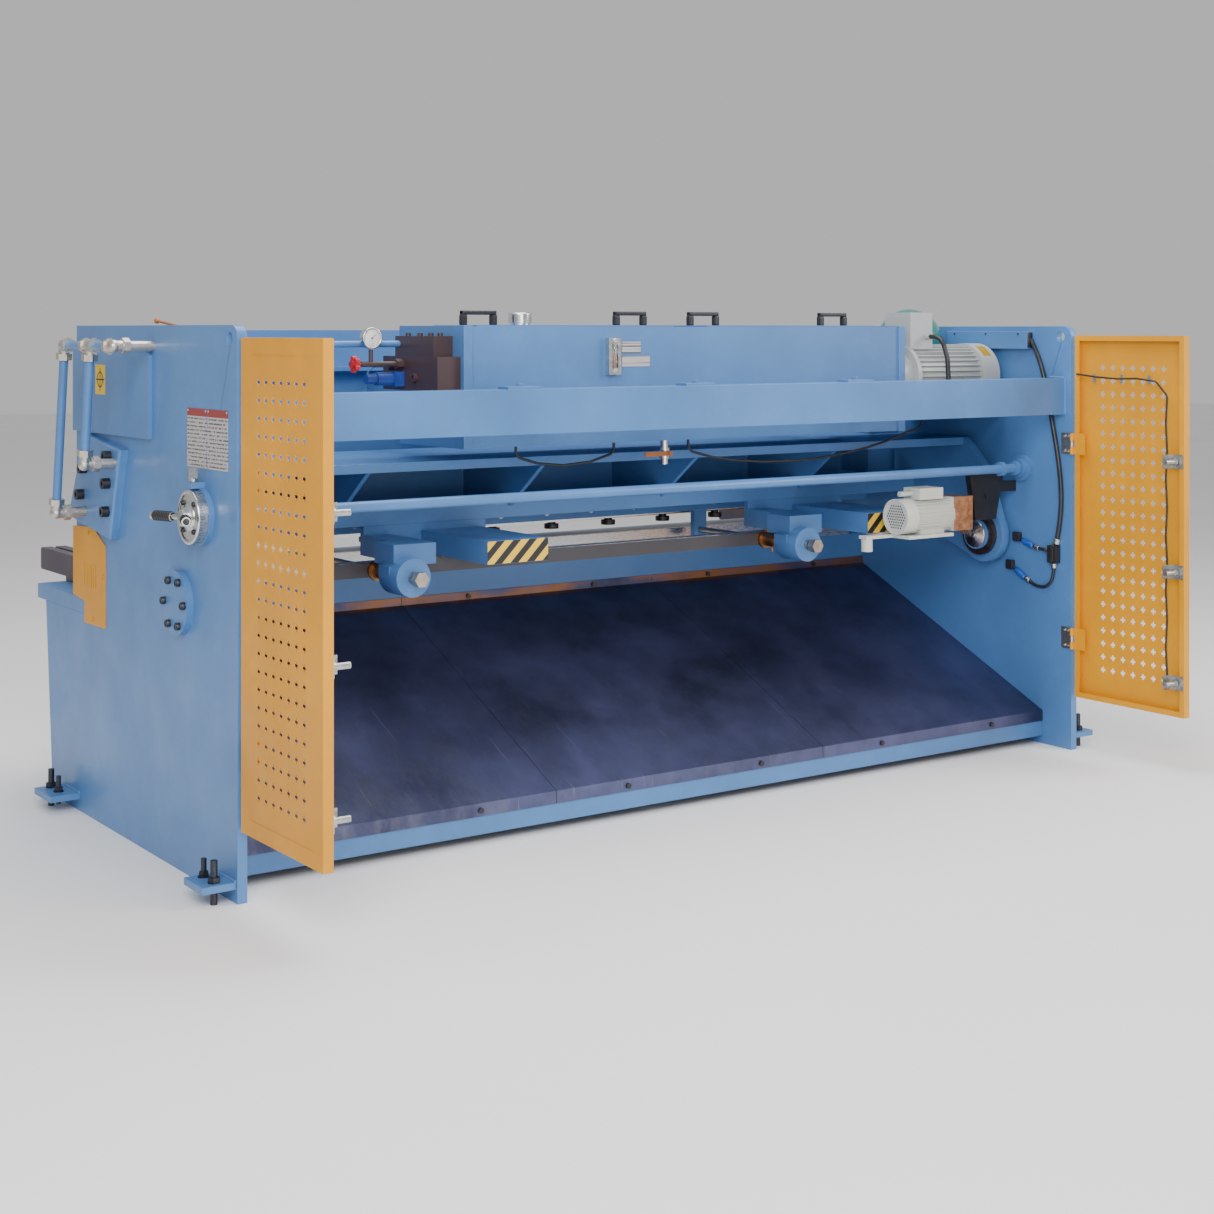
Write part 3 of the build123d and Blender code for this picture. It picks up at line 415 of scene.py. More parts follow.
def pointing(direction, at):
    """Matrix that takes local +Z to direction, and the origin to at."""
    turn = Vector((0, 0, 1)).rotation_difference(Vector(direction).normalized())
    return Matrix.Translation(Vector(at)) @ turn.to_matrix().to_4x4()


def add_turned(bm, outline, at, direction, steps=32):
    """A turned shape: outline holds (radius, height) points, spun about direction at a point."""
    edges = []
    last = None
    for radius, height in outline:
        vert = bm.verts.new((radius, 0, height))
        if last is not None:
            edges.append(bm.edges.new((last, vert)))
        last = vert
    geometry = edges + list({v for e in edges for v in e.verts})
    spun = bmesh.ops.spin(bm, geom=geometry, cent=(0, 0, 0), axis=(0, 0, 1), steps=steps,
                          angle=math.tau, use_merge=True)
    verts = {v for e in spun["geom_last"] if isinstance(e, bmesh.types.BMEdge) for v in e.verts}
    reach = set(verts)
    front = list(verts)
    while front:
        vert = front.pop()
        for edge in vert.link_edges:
            other = edge.other_vert(vert)
            if other not in reach:
                reach.add(other)
                front.append(other)
    bmesh.ops.remove_doubles(bm, verts=list(reach), dist=0.00001)
    reach = [v for v in reach if v.is_valid]
    bmesh.ops.transform(bm, matrix=pointing(direction, at), verts=reach)


def add_socket_screw(bm, at, direction, radius, height):
    """Socket head screw: rounded head with a hexagon recess."""
    rim = radius * 0.12
    add_turned(bm, [(0, height * 0.45), (radius * 0.5, height * 0.45), (radius * 0.52, height),
                    (radius - rim, height), (radius, height - rim), (radius, 0)], at, direction, 18)


# ---------------------------------------------------------------- operators

def put(nodes, mat, edge=0.0):
    """Gives CAD nodes a material and, if asked, softened edges."""
    for name in nodes:
        node = frame["nodes"][name]
        node.data.materials.clear()
        node.data.materials.append(mat)
        if edge:
            weld = node.modifiers.new("join", "WELD")
            weld.merge_threshold = 0.00001
            soft = node.modifiers.new("edge", "BEVEL")
            soft.width = edge
            soft.segments = 2
            soft.limit_method = "ANGLE"
            soft.angle_limit = math.radians(50)


class SHEAR_OT_structure(bpy.types.Operator):
    """Paints the welded frame, beams, tank and covers"""
    bl_idname = "shear.structure"
    bl_label = "Structure paint"

    def execute(self, context):
        colours = context.scene.shear_paint
        edge = context.scene.shear_detail.edge
        body = paint("body_paint", tuple(colours.body))
        put(["side_plate_left", "side_plate_right", "cross_beams", "bed", "front_beam",
             "cylinder_units", "oil_tank", "swing_beam", "tank_brackets", "gauge_arms"], body, edge)
        put(["shaft_bearings", "grease_pump", "gap_shaft", "pivot_pins", "cylinder_pipes",
             "manifold_pipes"], body)
        put(["tank_lid_left", "tank_lid_right"], lid_paint(tuple(colours.body)))
        yellow = paint("guard_paint", tuple(colours.guard), 0.46, 0.25, 0.0)
        put(["left_door", "right_door", "front_guard", "side_guards"], yellow)
        put(["chute_sheets"], worn_chute(tuple(colours.chute)))
        put(["support_arms"], paint("arm_paint", (0.035, 0.022, 0.040), 0.5, 0.4), edge)
        put(["valve_manifold"], paint("block_finish", (0.055, 0.030, 0.032), 0.42, 0.5))
        put(["gauge_bar"], paint("bar_finish", (0.060, 0.055, 0.062), 0.45, 0.5))
        put(["accumulator"], paint("vessel_paint", tuple(colours.vessel), 0.18, 0.1, 0.6))
        return {"FINISHED"}


class SHEAR_OT_steelwork(bpy.types.Operator):
    """Gives bare, plated and turned steel parts their finish"""
    bl_idname = "shear.steelwork"
    bl_label = "Steel finishes"

    def execute(self, context):
        turned = metal("turned_steel", (0.55, 0.55, 0.54), 0.30, (6, 1, 1), 60.0)
        plated = metal("zinc_plate", (0.60, 0.55, 0.49), 0.34, (1, 1, 1), 120.0, 0.35)
        put(["ram_left", "ram_right"], turned)
        put(["gap_disc_left", "gap_disc_right"], metal("ring_steel", (0.17, 0.115, 0.10), 0.34,
                                                      (1, 1, 1), 70.0, 0.4))
        put(["gap_dial"], metal("dial_steel", (0.62, 0.62, 0.60), 0.26, (1, 1, 1), 80.0, 0.1))
        put(["pipe_fittings", "frame_hinges"], plated)
        put(["floor_bolts", "cap_screws"], metal("black_bolt", (0.07, 0.07, 0.08), 0.40))
        put(["gauge_nuts"], metal("bronze", (0.42, 0.23, 0.11), 0.36))
        put(["lead_screw_left", "lead_screw_right"], metal("screw_steel", (0.50, 0.44, 0.38), 0.32,
                                                          (1, 30, 1), 24.0, 0.45))
        put(["lower_blade", "upper_blade"], metal("blade_steel", (0.60, 0.60, 0.61), 0.24,
                                                 (1, 12, 12), 30.0, 0.15))
        put(["filler_cap", "pressure_gauge", "drain_valve", "level_gauge"],
            metal("chrome", (0.74, 0.74, 0.73), 0.16, (1, 1, 1), 60.0, 0.12))
        return {"FINISHED"}


class SHEAR_OT_fittings(bpy.types.Operator):
    """Gives motors, hoses, knobs, plates and sensors their finish"""
    bl_idname = "shear.fittings"
    bl_label = "Small finishes"

    def execute(self, context):
        put(["pump_motor"], paint("motor_paint", (0.42, 0.44, 0.44), 0.36, 0.4))
        fan = joint_at("lead_screw_right_turn").x - FAN_FROM_SCREW
        put(["gauge_motor"], motor_paint("gauge_motor_paint", (0.55, 0.57, 0.53),
                                         (0.42, 0.27, 0.20), fan - GEARBOX_FROM_FAN))
        put(["solenoid_valve"], plastic("coil_sleeve", (0.012, 0.045, 0.24), 0.40))
        black = plastic("black_plastic", (0.014, 0.014, 0.016), 0.40)
        put(["drive_cover", "door_cable", "holddown_feet", "wall_conduit", "motor_hoses"], black)
        put(["gap_knob"], metal("knob_steel", (0.55, 0.55, 0.54), 0.3))
        put(["wing_sensors_left", "wing_sensors_right"],
            metal("sensor_bracket", (0.50, 0.50, 0.48), 0.38))
        put(["isolator_handwheel"], plastic("red_plastic", (0.48, 0.012, 0.012), 0.28))
        put(["drain_lever", "grease_lever"], paint("lever_paint", (0.40, 0.13, 0.03), 0.4, 0.6))
        put(["nameplates"], printed())
        return {"FINISHED"}


class SHEAR_OT_handles(bpy.types.Operator):
    """Moulds rounded sleeves over the bridge handles of both tank lids"""
    bl_idname = "shear.handles"
    bl_label = "Lid handles"

    def execute(self, context):
        rubber = plastic("handle_rubber", (0.013, 0.013, 0.015), 0.36)
        for side in ("left", "right"):
            node = "tank_lid_" + side
            low, high = corners(node)
            middle = (low + high) / 2
            bm = bmesh.new()
            for offset in (-310 * MM, 310 * MM):
                x = middle.x + offset
                depth = Vector((0, 11 * MM, 0))
                bar_low = Vector((x - 66 * MM, middle.y, high.z - 14 * MM)) - depth
                bar_high = Vector((x + 66 * MM, middle.y, high.z)) + depth
                add_box(bm, bar_low, bar_high)
                for edge in (-1, 1):
                    foot = x + edge * 58 * MM
                    add_box(bm, Vector((foot - 11 * MM, middle.y, low.z + 6 * MM)) - depth,
                            Vector((foot + 11 * MM, middle.y, high.z - 13.9 * MM)) + depth)
            finish(bm, "lid_handles_" + side, node, rubber, 4 * MM, 3)
        return {"FINISHED"}


class SHEAR_OT_hazard(bpy.types.Operator):
    """Adds a striped plate to the rear end of each guide box"""
    bl_idname = "shear.hazard"
    bl_label = "Hazard plates"

    def execute(self, context):
        mat = hazard(context.scene.shear_detail.stripe)
        rear = corners("gauge_arms")[1].y
        for side in ("left", "right"):
            screw = joint_at("lead_screw_" + side + "_turn")
            bm = bmesh.new()
            add_box(bm, (screw.x - 463 * MM, rear, screw.z + 34 * MM),
                    (screw.x - 231 * MM, rear + 1.5 * MM, screw.z + 107 * MM))
            finish(bm, "hazard_plate_" + side, "swing_beam", mat, 0.5 * MM)
        return {"FINISHED"}


class SHEAR_OT_gauge_face(bpy.types.Operator):
    """Builds the pressure gauge's face, ticks, needle and bezel"""
    bl_idname = "shear.gauge_face"
    bl_label = "Pressure gauge face"

    def execute(self, context):
        low, high = corners("pressure_gauge")
        radius = (high.x - low.x) / 2
        centre = Vector((low.x + radius, high.y - 4 * MM, high.z - radius))
        rear = (0, 1, 0)
        bm = bmesh.new()
        add_turned(bm, [(0, 0.4 * MM), (radius - 4.2 * MM, 0.4 * MM), (radius - 4.2 * MM, 0)],
                   centre, rear, 40)
        finish(bm, "gauge_card", "frame", plastic("gauge_white", (0.75, 0.75, 0.73), 0.3))
        bm = bmesh.new()
        for i in range(25):
            angle = math.radians(-225 + 270 * i / 24)
            length = (5 if i % 4 == 0 else 3) * MM
            out = radius - 6 * MM - length / 2
            at = centre + Vector((out * math.cos(angle), 0.6 * MM, out * math.sin(angle)))
            made = bmesh.ops.create_cube(bm, size=1.0)["verts"]
            bmesh.ops.scale(bm, verts=made, vec=(length, 0.3 * MM, 0.7 * MM))
            bmesh.ops.rotate(bm, verts=made, matrix=Matrix.Rotation(-angle, 3, "Y"))
            bmesh.ops.translate(bm, verts=made, vec=at)
        add_turned(bm, [(0, 2 * MM), (3 * MM, 1.6 * MM), (3 * MM, 0.5 * MM)], centre, rear, 20)
        finish(bm, "gauge_ticks", "frame", plastic("gauge_black", (0.02, 0.02, 0.02), 0.4))
        bm = bmesh.new()
        made = bmesh.ops.create_cube(bm, size=1.0)["verts"]
        bmesh.ops.scale(bm, verts=made, vec=(22 * MM, 0.5 * MM, 1.3 * MM))
        bmesh.ops.translate(bm, verts=made, vec=(-8 * MM, 0, 0))
        bmesh.ops.rotate(bm, verts=made, matrix=Matrix.Rotation(math.radians(40), 3, "Y"))
        bmesh.ops.translate(bm, verts=made, vec=centre + Vector((0, 1.2 * MM, 0)))
        finish(bm, "gauge_needle", "frame", plastic("needle_red", (0.5, 0.02, 0.02), 0.4))
        bm = bmesh.new()
        add_turned(bm, [(radius - 4.5 * MM, 4 * MM), (radius - 3.5 * MM, 5.2 * MM),
                        (radius - 1 * MM, 5.2 * MM), (radius + 1 * MM, 3.5 * MM),
                        (radius + 1 * MM, 0), (radius, 0)], centre, rear, 48)
        finish(bm, "gauge_bezel", "frame", metal("bezel", (0.70, 0.70, 0.69), 0.2))
        return {"FINISHED"}


class SHEAR_OT_level_glass(bpy.types.Operator):
    """Fits the oil level gauge with its glass, oil column and two nuts"""
    bl_idname = "shear.level_glass"
    bl_label = "Oil level glass"

    def execute(self, context):
        low, high = corners("level_gauge")
        x = (low.x + high.x) / 2
        y = high.y - 5 * MM
        bottom, top = low.z + 22 * MM, high.z - 22 * MM
        bm = bmesh.new()
        add_turned(bm, [(0, 0), (6 * MM, 0), (7 * MM, 1 * MM), (7 * MM, top - bottom - 1 * MM),
                        (6 * MM, top - bottom), (0, top - bottom)], (x, y, bottom), (0, 0, 1), 24)
        finish(bm, "level_tube", "frame", clear_glass())
        bm = bmesh.new()
        add_turned(bm, [(0, 0), (4 * MM, 0), (4 * MM, 46 * MM), (0, 46 * MM)],
                   (x, y, bottom + 1 * MM), (0, 0, 1), 16)
        finish(bm, "level_oil", "frame", plastic("oil_amber", (0.42, 0.13, 0.02), 0.1))
        bm = bmesh.new()
        for z in (low.z + 10 * MM, high.z - 10 * MM):
            add_turned(bm, [(9 * MM, 0), (9 * MM, 4 * MM), (7 * MM, 6 * MM), (0, 6 * MM)],
                       (x, high.y - 2 * MM, z), (0, 1, 0), 24)
        finish(bm, "level_nuts", "frame", metal("level_nut_steel", (0.55, 0.55, 0.53), 0.3))
        return {"FINISHED"}


class SHEAR_OT_bolts(bpy.types.Operator):
    """Adds the socket head bolts round both pivot flanges"""
    bl_idname = "shear.bolts"
    bl_label = "Pivot bolts"

    def execute(self, context):
        low, high = corners("pivot_pins")
        pivot = joint_at("swing")
        mat = metal("dark_bolts", (0.06, 0.06, 0.07), 0.36)
        for side, sign in (("left", 1), ("right", -1)):
            face = (high.x if sign > 0 else low.x) - sign * 10 * MM
            bm = bmesh.new()
            for i in range(6):
                angle = math.radians(60 * i)
                at = (face, pivot.y + BOLT_CIRCLE * math.cos(angle),
                      pivot.z + BOLT_CIRCLE * math.sin(angle))
                add_socket_screw(bm, at, (sign, 0, 0), 11.5 * MM, 13 * MM)
            finish(bm, "pivot_bolts_" + side, "frame", mat)
        return {"FINISHED"}


class SHEAR_OT_dial(bpy.types.Operator):
    """Adds graduations, face screws and lever grips to the gap dial"""
    bl_idname = "shear.dial"
    bl_label = "Dial marks and grips"

    def execute(self, context):
        detail = context.scene.shear_detail
        axis = joint_at("gap_turn")
        front = corners("gap_dial")[0].x + DRUM_THICKNESS
        bm = bmesh.new()
        for i in range(detail.ticks):
            angle = math.tau * i / detail.ticks
            length = (14 if i % 5 == 0 else 8) * MM
            made = bmesh.ops.create_cube(bm, size=1.0)["verts"]
            bmesh.ops.scale(bm, verts=made, vec=(length, 1.1 * MM, 0.5 * MM))
            bmesh.ops.translate(bm, verts=made, vec=(front - 2 * MM - length / 2, 0, DRUM_RADIUS))
            bmesh.ops.rotate(bm, verts=made, matrix=Matrix.Rotation(angle, 3, "X"))
            bmesh.ops.translate(bm, verts=made, vec=(0, axis.y, axis.z))
        finish(bm, "dial_ticks", "gap_setting", plastic("tick_black", (0.02, 0.02, 0.02)))
        bm = bmesh.new()
        for i in range(4):
            angle = math.radians(45 + 90 * i)
            at = (front, axis.y + 55 * MM * math.cos(angle), axis.z + 55 * MM * math.sin(angle))
            add_socket_screw(bm, at, (1, 0, 0), 8 * MM, 6 * MM)
        finish(bm, "dial_screws", "gap_setting", metal("dial_screw_steel", (0.06, 0.06, 0.07)))
        rubber = plastic("grip_black", (0.012, 0.012, 0.014), 0.38)
        slope = math.radians(20)
        hub = Vector((front + 14 * MM, axis.y, axis.z))
        bm = bmesh.new()
        for side in (-1, 1):
            way = Vector((math.sin(slope), side * math.cos(slope), 0))
            r = detail.grip
            outline = [(0, 0), (r * 0.75, 0), (r * 0.88, 4 * MM)]
            for ring in range(7):
                z = (10 + ring * 10) * MM
                outline += [(r * 0.88, z - 3 * MM), (r, z - 2 * MM), (r, z + 3 * MM),
                            (r * 0.88, z + 4 * MM)]
            outline += [(r * 0.86, 80 * MM), (r * 0.6, 84.5 * MM), (0, 85.5 * MM)]
            add_turned(bm, outline, hub + way * 46 * MM, way, 24)
        finish(bm, "lever_grips", "gap_setting", rubber)
        return {"FINISHED"}


class SHEAR_OT_symbol(bpy.types.Operator):
    """Draws a plain ring and cross on the yellow label"""
    bl_idname = "shear.symbol"
    bl_label = "Label symbol"

    def execute(self, context):
        distance, height = LABEL_PLACE
        centre = Vector((corners("nameplates")[1].x, ahead(distance), height * MM))
        bm = bmesh.new()
        add_turned(bm, [(22 * MM, 0), (22 * MM, 0.6 * MM), (26 * MM, 0.6 * MM), (26 * MM, 0)],
                   centre, (1, 0, 0), 32)
        for size in ((0.6, 74, 4), (0.6, 4, 74)):
            half = Vector(size) * MM / 2
            add_box(bm, centre + Vector((half.x, 0, 0)) - half, centre + Vector((half.x, 0, 0)) + half)
        finish(bm, "label_symbol", "frame", plastic("symbol_black", (0.02, 0.02, 0.02)))
        return {"FINISHED"}


def add_bead(bm, start, end, radius):
    """A rippled weld bead between two points."""
    start, end = Vector(start), Vector(end)
    run = end - start
    count = max(6, int(run.length / (radius * 1.6)))
    outline = [(0, 0)]
    for i in range(count):
        near = run.length * (i + 0.25) / count
        far = run.length * (i + 0.85) / count
        outline += [(radius * 0.82, near), (radius * (1.0 + 0.06 * (i % 3)), far)]
    outline.append((0, run.length))
    add_turned(bm, outline, start, run, 8)


def hose(name, points, radius, mat, body=None):
    """A smooth round hose through points given as (x, mm ahead of the rear edge, z in mm)."""
    curve = bpy.data.curves.new(name, "CURVE")
    curve.dimensions = "3D"
    curve.bevel_depth = radius
    curve.bevel_resolution = 4
    curve.resolution_u = 8
    curve.use_fill_caps = True
    spline = curve.splines.new("NURBS")
    spline.points.add(len(points) - 1)
    for point, (x, distance, z) in zip(spline.points, points):
        point.co = (x, ahead(distance), z * MM, 1)
    spline.order_u = 3
    spline.use_endpoint_u = True
    holder = bpy.data.objects.new(name + "_line", curve)
    bpy.context.scene.collection.objects.link(holder)
    bpy.context.view_layer.update()
    graph = bpy.context.evaluated_depsgraph_get()
    mesh = bpy.data.meshes.new_from_object(holder.evaluated_get(graph))
    bpy.data.objects.remove(holder)
    mesh.name = name
    mesh.materials.clear()
    mesh.materials.append(mat)
    for polygon in mesh.polygons:
        polygon.use_smooth = True
    piece = bpy.data.objects.new(name, mesh)
    bpy.context.scene.collection.objects.link(piece)
    if body:
        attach(piece, body)
    return piece


def along(bm, start, end, outline):
    """A turned shape from start towards end, both as (x, mm ahead, z in mm)."""
    first = Vector((start[0], ahead(start[1]), start[2] * MM))
    last = Vector((end[0], ahead(end[1]), end[2] * MM))
    add_turned(bm, [(r * MM, h * MM) for r, h in outline], first, last - first, 20)


def nut_outline(radius, length):
    """Outline of a nut with broken edges, in mm."""
    return [(0, 0), (radius - 1, 0), (radius, 1), (radius, length - 1), (radius - 1, length),
            (0, length)]


class SHEAR_OT_wall_lines(bpy.types.Operator):
    """Builds the duct, conduit, tee, sensor leads and sleeves on the -X plate"""
    bl_idname = "shear.wall_lines"
    bl_label = "Wall conduit and sensors"

    def execute(self, context):
        wall = corners("wall_conduit")[0].x
        x = wall + 9 * MM
        black = plastic("conduit_black", (0.020, 0.020, 0.024), 0.30)
        main = hose("conduit_hose", [(x, 194, 1549), (x, 155, 1490), (x, 122, 1395), (x, 92, 1262),
                                     (x, 60, 1125), (x, 40, 990), (x, 43, 870), (x, 66, 770)],
                    9 * MM, black, "frame")
        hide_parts("wall_conduit")
        hose("sensor_lead_upper", [(x, 98, 744), (x, 150, 746), (x, 200, 758), (x, 248, 776)],
             6 * MM, black, "frame")
        hose("sensor_lead_lower", [(x, 76, 700), (x, 78, 645), (x, 110, 604), (x, 165, 600),
                                   (x, 220, 626), (x, 286, 666)], 6 * MM, black,
             "frame")
        bm = bmesh.new()
        add_box(bm, (wall, ahead(623), 1512 * MM), (wall + 30 * MM, ahead(194), 1581 * MM))
        finish(bm, "wall_duct", "frame", bpy.data.materials["body_paint"], 2 * MM)
        bm = bmesh.new()
        for distance in (240, 410, 580):
            add_socket_screw(bm, (wall + 30 * MM, ahead(distance), 1570 * MM), (1, 0, 0), 4 * MM,
                             2 * MM)
        # A thin black sheet inset in the duct's open end: painted shade standing for the dark inside of
        # the duct mouth. The screw heads that share its material are truly black.
        add_box(bm, (wall + 2 * MM, ahead(196), 1518 * MM), (wall + 27 * MM, ahead(192), 1575 * MM))
        finish(bm, "duct_screws_and_mouth_shade", "frame", plastic("duct_screws_black_mouth_shade", (0.02, 0.02, 0.02)))
        bm = bmesh.new()
        add_box(bm, (wall, ahead(98), 700 * MM), (wall + 26 * MM, ahead(52), 766 * MM))
        along(bm, (x, 76, 700), (x, 76, 766), [(0, -2), (17, -2), (19, 8), (19, 58), (17, 68),
                                               (0, 68)])
        finish(bm, "conduit_tee", "frame", plastic("tee_black", (0.018, 0.018, 0.02)),
               2 * MM)
        bm = bmesh.new()
        along(bm, (x, 64, 774), (x, 50, 830), nut_outline(14, 20))
        along(bm, (x, 76, 698), (x, 78, 645), nut_outline(11, 18))
        along(bm, (x, 98, 744), (x, 150, 747), nut_outline(11, 18))
        along(bm, (x, 152, 747), (x, 200, 758), nut_outline(10, 20))
        along(bm, (x, 200, 617), (x, 250, 645), nut_outline(10, 18))
        finish(bm, "conduit_nuts", "frame", metal("nut_silver", (0.62, 0.60, 0.57), 0.28),
               1 * MM)
        bm = bmesh.new()
        sleeve = [(0, 0), (8, 0), (11, 8), (11, 50), (9, 58), (0, 58)]
        along(bm, (x, 180, 752), (x, 248, 776), sleeve)
        along(bm, (x, 222, 627), (x, 286, 666), sleeve)
        finish(bm, "sensor_sleeves", "frame", plastic("sleeve_blue", (0.01, 0.08, 0.42), 0.3))
        bm = bmesh.new()
        for distance, z in ((264, 783), (300, 672)):
            add_box(bm, (wall, ahead(distance + 18), (z - 18) * MM),
                    (wall + 18 * MM, ahead(distance - 18), (z + 18) * MM))
        finish(bm, "sensor_blocks", "frame", plastic("sensor_black", (0.015, 0.015, 0.018)),
               3 * MM)
        return {"FINISHED"}


class SHEAR_OT_small_steel(bpy.types.Operator):
    """Adds the fan grille as black discs of painted hole shade, pivot caps, dial face, gauge rule and
    plate rivets
    """
    bl_idname = "shear.small_steel"
    bl_label = "Grille, caps, rule and rivets"

    def execute(self, context):
        distance, height = FAN_PLACE
        fan = Vector((joint_at("lead_screw_right_turn").x - FAN_FROM_SCREW, ahead(distance),
                      height * MM))
        # Each hole of the fan grille is a thin black disc: painted shade standing for the dark inside
        # of the hole.
        bm = bmesh.new()
        for row in range(-4, 5):
            for column in range(-4, 5):
                y = (column + 0.5 * (row % 2)) * 11.5 * MM
                z = row * 10 * MM
                if math.hypot(y, z) > 47 * MM:
                    continue
                made = bmesh.ops.create_cone(bm, cap_ends=True, segments=10, radius1=3.4 * MM,
                                             radius2=3.4 * MM, depth=0.8 * MM)["verts"]
                place = pointing((1, 0, 0), fan + Vector((-3.8 * MM, y, z)))
                bmesh.ops.transform(bm, matrix=place, verts=made)
        finish(bm, "fan_grille_hole_shade", "swing_beam", plastic("painted_hole_shade", (0.012, 0.012, 0.012), 0.6))
        pivot = joint_at("swing")
        pin = corners("pivot_pins")
        bright = metal("cap_steel", (0.55, 0.45, 0.40), 0.26)
        for side, sign in (("left", 1), ("right", -1)):
            end = sign * (pin[1].x - 162 * MM)
            bm = bmesh.new()
            add_turned(bm, [(52 * MM, 0), (50 * MM, 3 * MM), (30 * MM, 4 * MM), (28 * MM, 8 * MM),
                            (16 * MM, 9 * MM), (12 * MM, 16 * MM), (0, 17 * MM)],
                       (end, pivot.y, pivot.z), (-sign, 0, 0), 36)
            finish(bm, "pivot_cap_" + side, "frame", bright)
        axis = joint_at("gap_turn")
        front = corners("gap_dial")[0].x + DRUM_THICKNESS
        bm = bmesh.new()
        add_turned(bm, [(67 * MM, 0.2 * MM), (68 * MM, 3.5 * MM), (70 * MM, 4.5 * MM),
                        (76 * MM, 4.5 * MM), (78.5 * MM, 2.5 * MM), (79 * MM, 0)],
                   (front, axis.y, axis.z), (1, 0, 0), 64)
        add_turned(bm, [(42 * MM, 0), (40 * MM, 4 * MM), (26 * MM, 15 * MM), (24 * MM, 24 * MM),
                        (21 * MM, 28 * MM), (20 * MM, 28 * MM)], (front, axis.y, axis.z),
                   (1, 0, 0), 48)
        finish(bm, "dial_face", "gap_setting", metal("dial_rim", (0.68, 0.69, 0.70), 0.22))
        bar_low, bar_high = corners("gauge_bar")
        bm = bmesh.new()
        add_box(bm, (bar_low.x + 4 * MM, bar_low.y + 8 * MM, bar_high.z),
                (bar_high.x - 4 * MM, bar_high.y - 8 * MM, bar_high.z + 2 * MM))
        finish(bm, "gauge_rule", "back_gauge", metal("rule_steel", (0.70, 0.70, 0.70), 0.3,
                                                    (1, 20, 1), 30.0), 0.4 * MM)
        outer = corners("side_plate_left")[1].x - PAD_REACH
        bm = bmesh.new()
        for near, far in ((350, 211), (204, 63)):
            for distance in (near - 6, far + 6):
                for z in (1196, 1354):
                    add_turned(bm, [(4 * MM, 0), (3.4 * MM, 1.4 * MM), (0, 2 * MM)],
                               (outer + 1.5 * MM, ahead(distance), z * MM), (1, 0, 0), 12)
        finish(bm, "plate_rivets", "frame", bright)
        return {"FINISHED"}


class SHEAR_OT_welds(bpy.types.Operator):
    """Lays weld beads where beams, feet and tank ends meet their plates"""
    bl_idname = "shear.welds"
    bl_label = "Weld beads"

    def execute(self, context):
        radius = context.scene.shear_detail.bead
        mat = bpy.data.materials["body_paint"]
        beams = corners("cross_beams")[1]
        half_in = beams.x
        tie_rear = beams.y
        bm = bmesh.new()
        for sign in (-1, 1):
            x = sign * (half_in - 1.5 * MM)
            add_bead(bm, (x, tie_rear + MM, TIE_BOTTOM), (x, tie_rear + MM, TIE_TOP), radius)
            for z in (TIE_TOP + MM, TIE_BOTTOM - MM):
                add_bead(bm, (x, tie_rear - 80 * MM, z), (x, tie_rear, z), radius)
            out = sign * (half_in + 30 * MM)
            for y0, y1 in ((-700, -539), (573, 703)):
                add_bead(bm, (out + sign * MM, y0 * MM, 61 * MM), (out + sign * MM, y1 * MM, 61 * MM),
                         radius)
        finish(bm, "frame_welds", "frame", mat)
        tank_low, tank_high = corners("oil_tank")
        bm = bmesh.new()
        for x in (tank_low.x + 35 * MM, tank_high.x - 35 * MM):
            add_bead(bm, (x, tank_high.y - 8 * MM, tank_low.z + 8 * MM),
                     (x, tank_high.y - 8 * MM, tank_high.z - 8 * MM), radius * 0.8)
        finish(bm, "tank_welds", "frame", mat)
        return {"FINISHED"}


class SHEAR_OT_clips(bpy.types.Operator):
    """Adds cable clips to the -X wing and screws to the hinge leaves"""
    bl_idname = "shear.clips"
    bl_label = "Clips and hinge screws"

    def execute(self, context):
        mat = metal("clip_steel", (0.50, 0.50, 0.48), 0.35)
        low, high = corners("door_cable")
        bm = bmesh.new()
        for y in (0.2, 0.5, 0.8):
            at = low.y + (high.y - low.y) * y
            add_box(bm, (low.x - 1.5 * MM, at - 5 * MM, high.z - 34 * MM),
                    (low.x + 5 * MM, at + 5 * MM, high.z - 1 * MM))
        finish(bm, "cable_clips", "right_door", mat, 1 * MM)
        leaf = corners("frame_hinges")[1].x - 4 * MM
        hinge = joint_at("left_door_swing").y
        bm = bmesh.new()
        for sign in (-1, 1):
            for level in HINGE_LEVELS:
                for dz in (-28 * MM, 28 * MM):
                    for dy in (14 * MM, 34 * MM):
                        at = (sign * leaf, hinge - dy - 4 * MM, level + dz)
                        add_socket_screw(bm, at, (-sign, 0, 0), 5 * MM, 3.5 * MM)
        finish(bm, "hinge_screws", "frame", mat)
        return {"FINISHED"}


class SHEAR_OT_motor_label(bpy.types.Operator):
    """Wraps a plain yellow sticker on the pump motor's fan cover"""
    bl_idname = "shear.motor_label"
    bl_label = "Motor sticker"

    def execute(self, context):
        low, high = corners("pump_motor")
        axis_y = (low.y + high.y) / 2
        axis_z = PUMP_MOTOR_AXIS
        radius = 123.6 * MM
        bm = bmesh.new()
        rows = []
        for i in range(9):
            angle = math.radians(38 + 3.4 * i)
            y, z = axis_y + radius * math.cos(angle), axis_z + radius * math.sin(angle)
            rows.append([bm.verts.new((low.x + x, y, z)) for x in (22 * MM, 66 * MM)])
        for first, second in zip(rows, rows[1:]):
            bm.faces.new((first[0], first[1], second[1], second[0]))
        bmesh.ops.solidify(bm, geom=bm.faces[:], thickness=0.4 * MM)
        finish(bm, "motor_sticker", "frame", paint("sticker", (0.85, 0.55, 0.02), 0.4, 0.3))
        return {"FINISHED"}


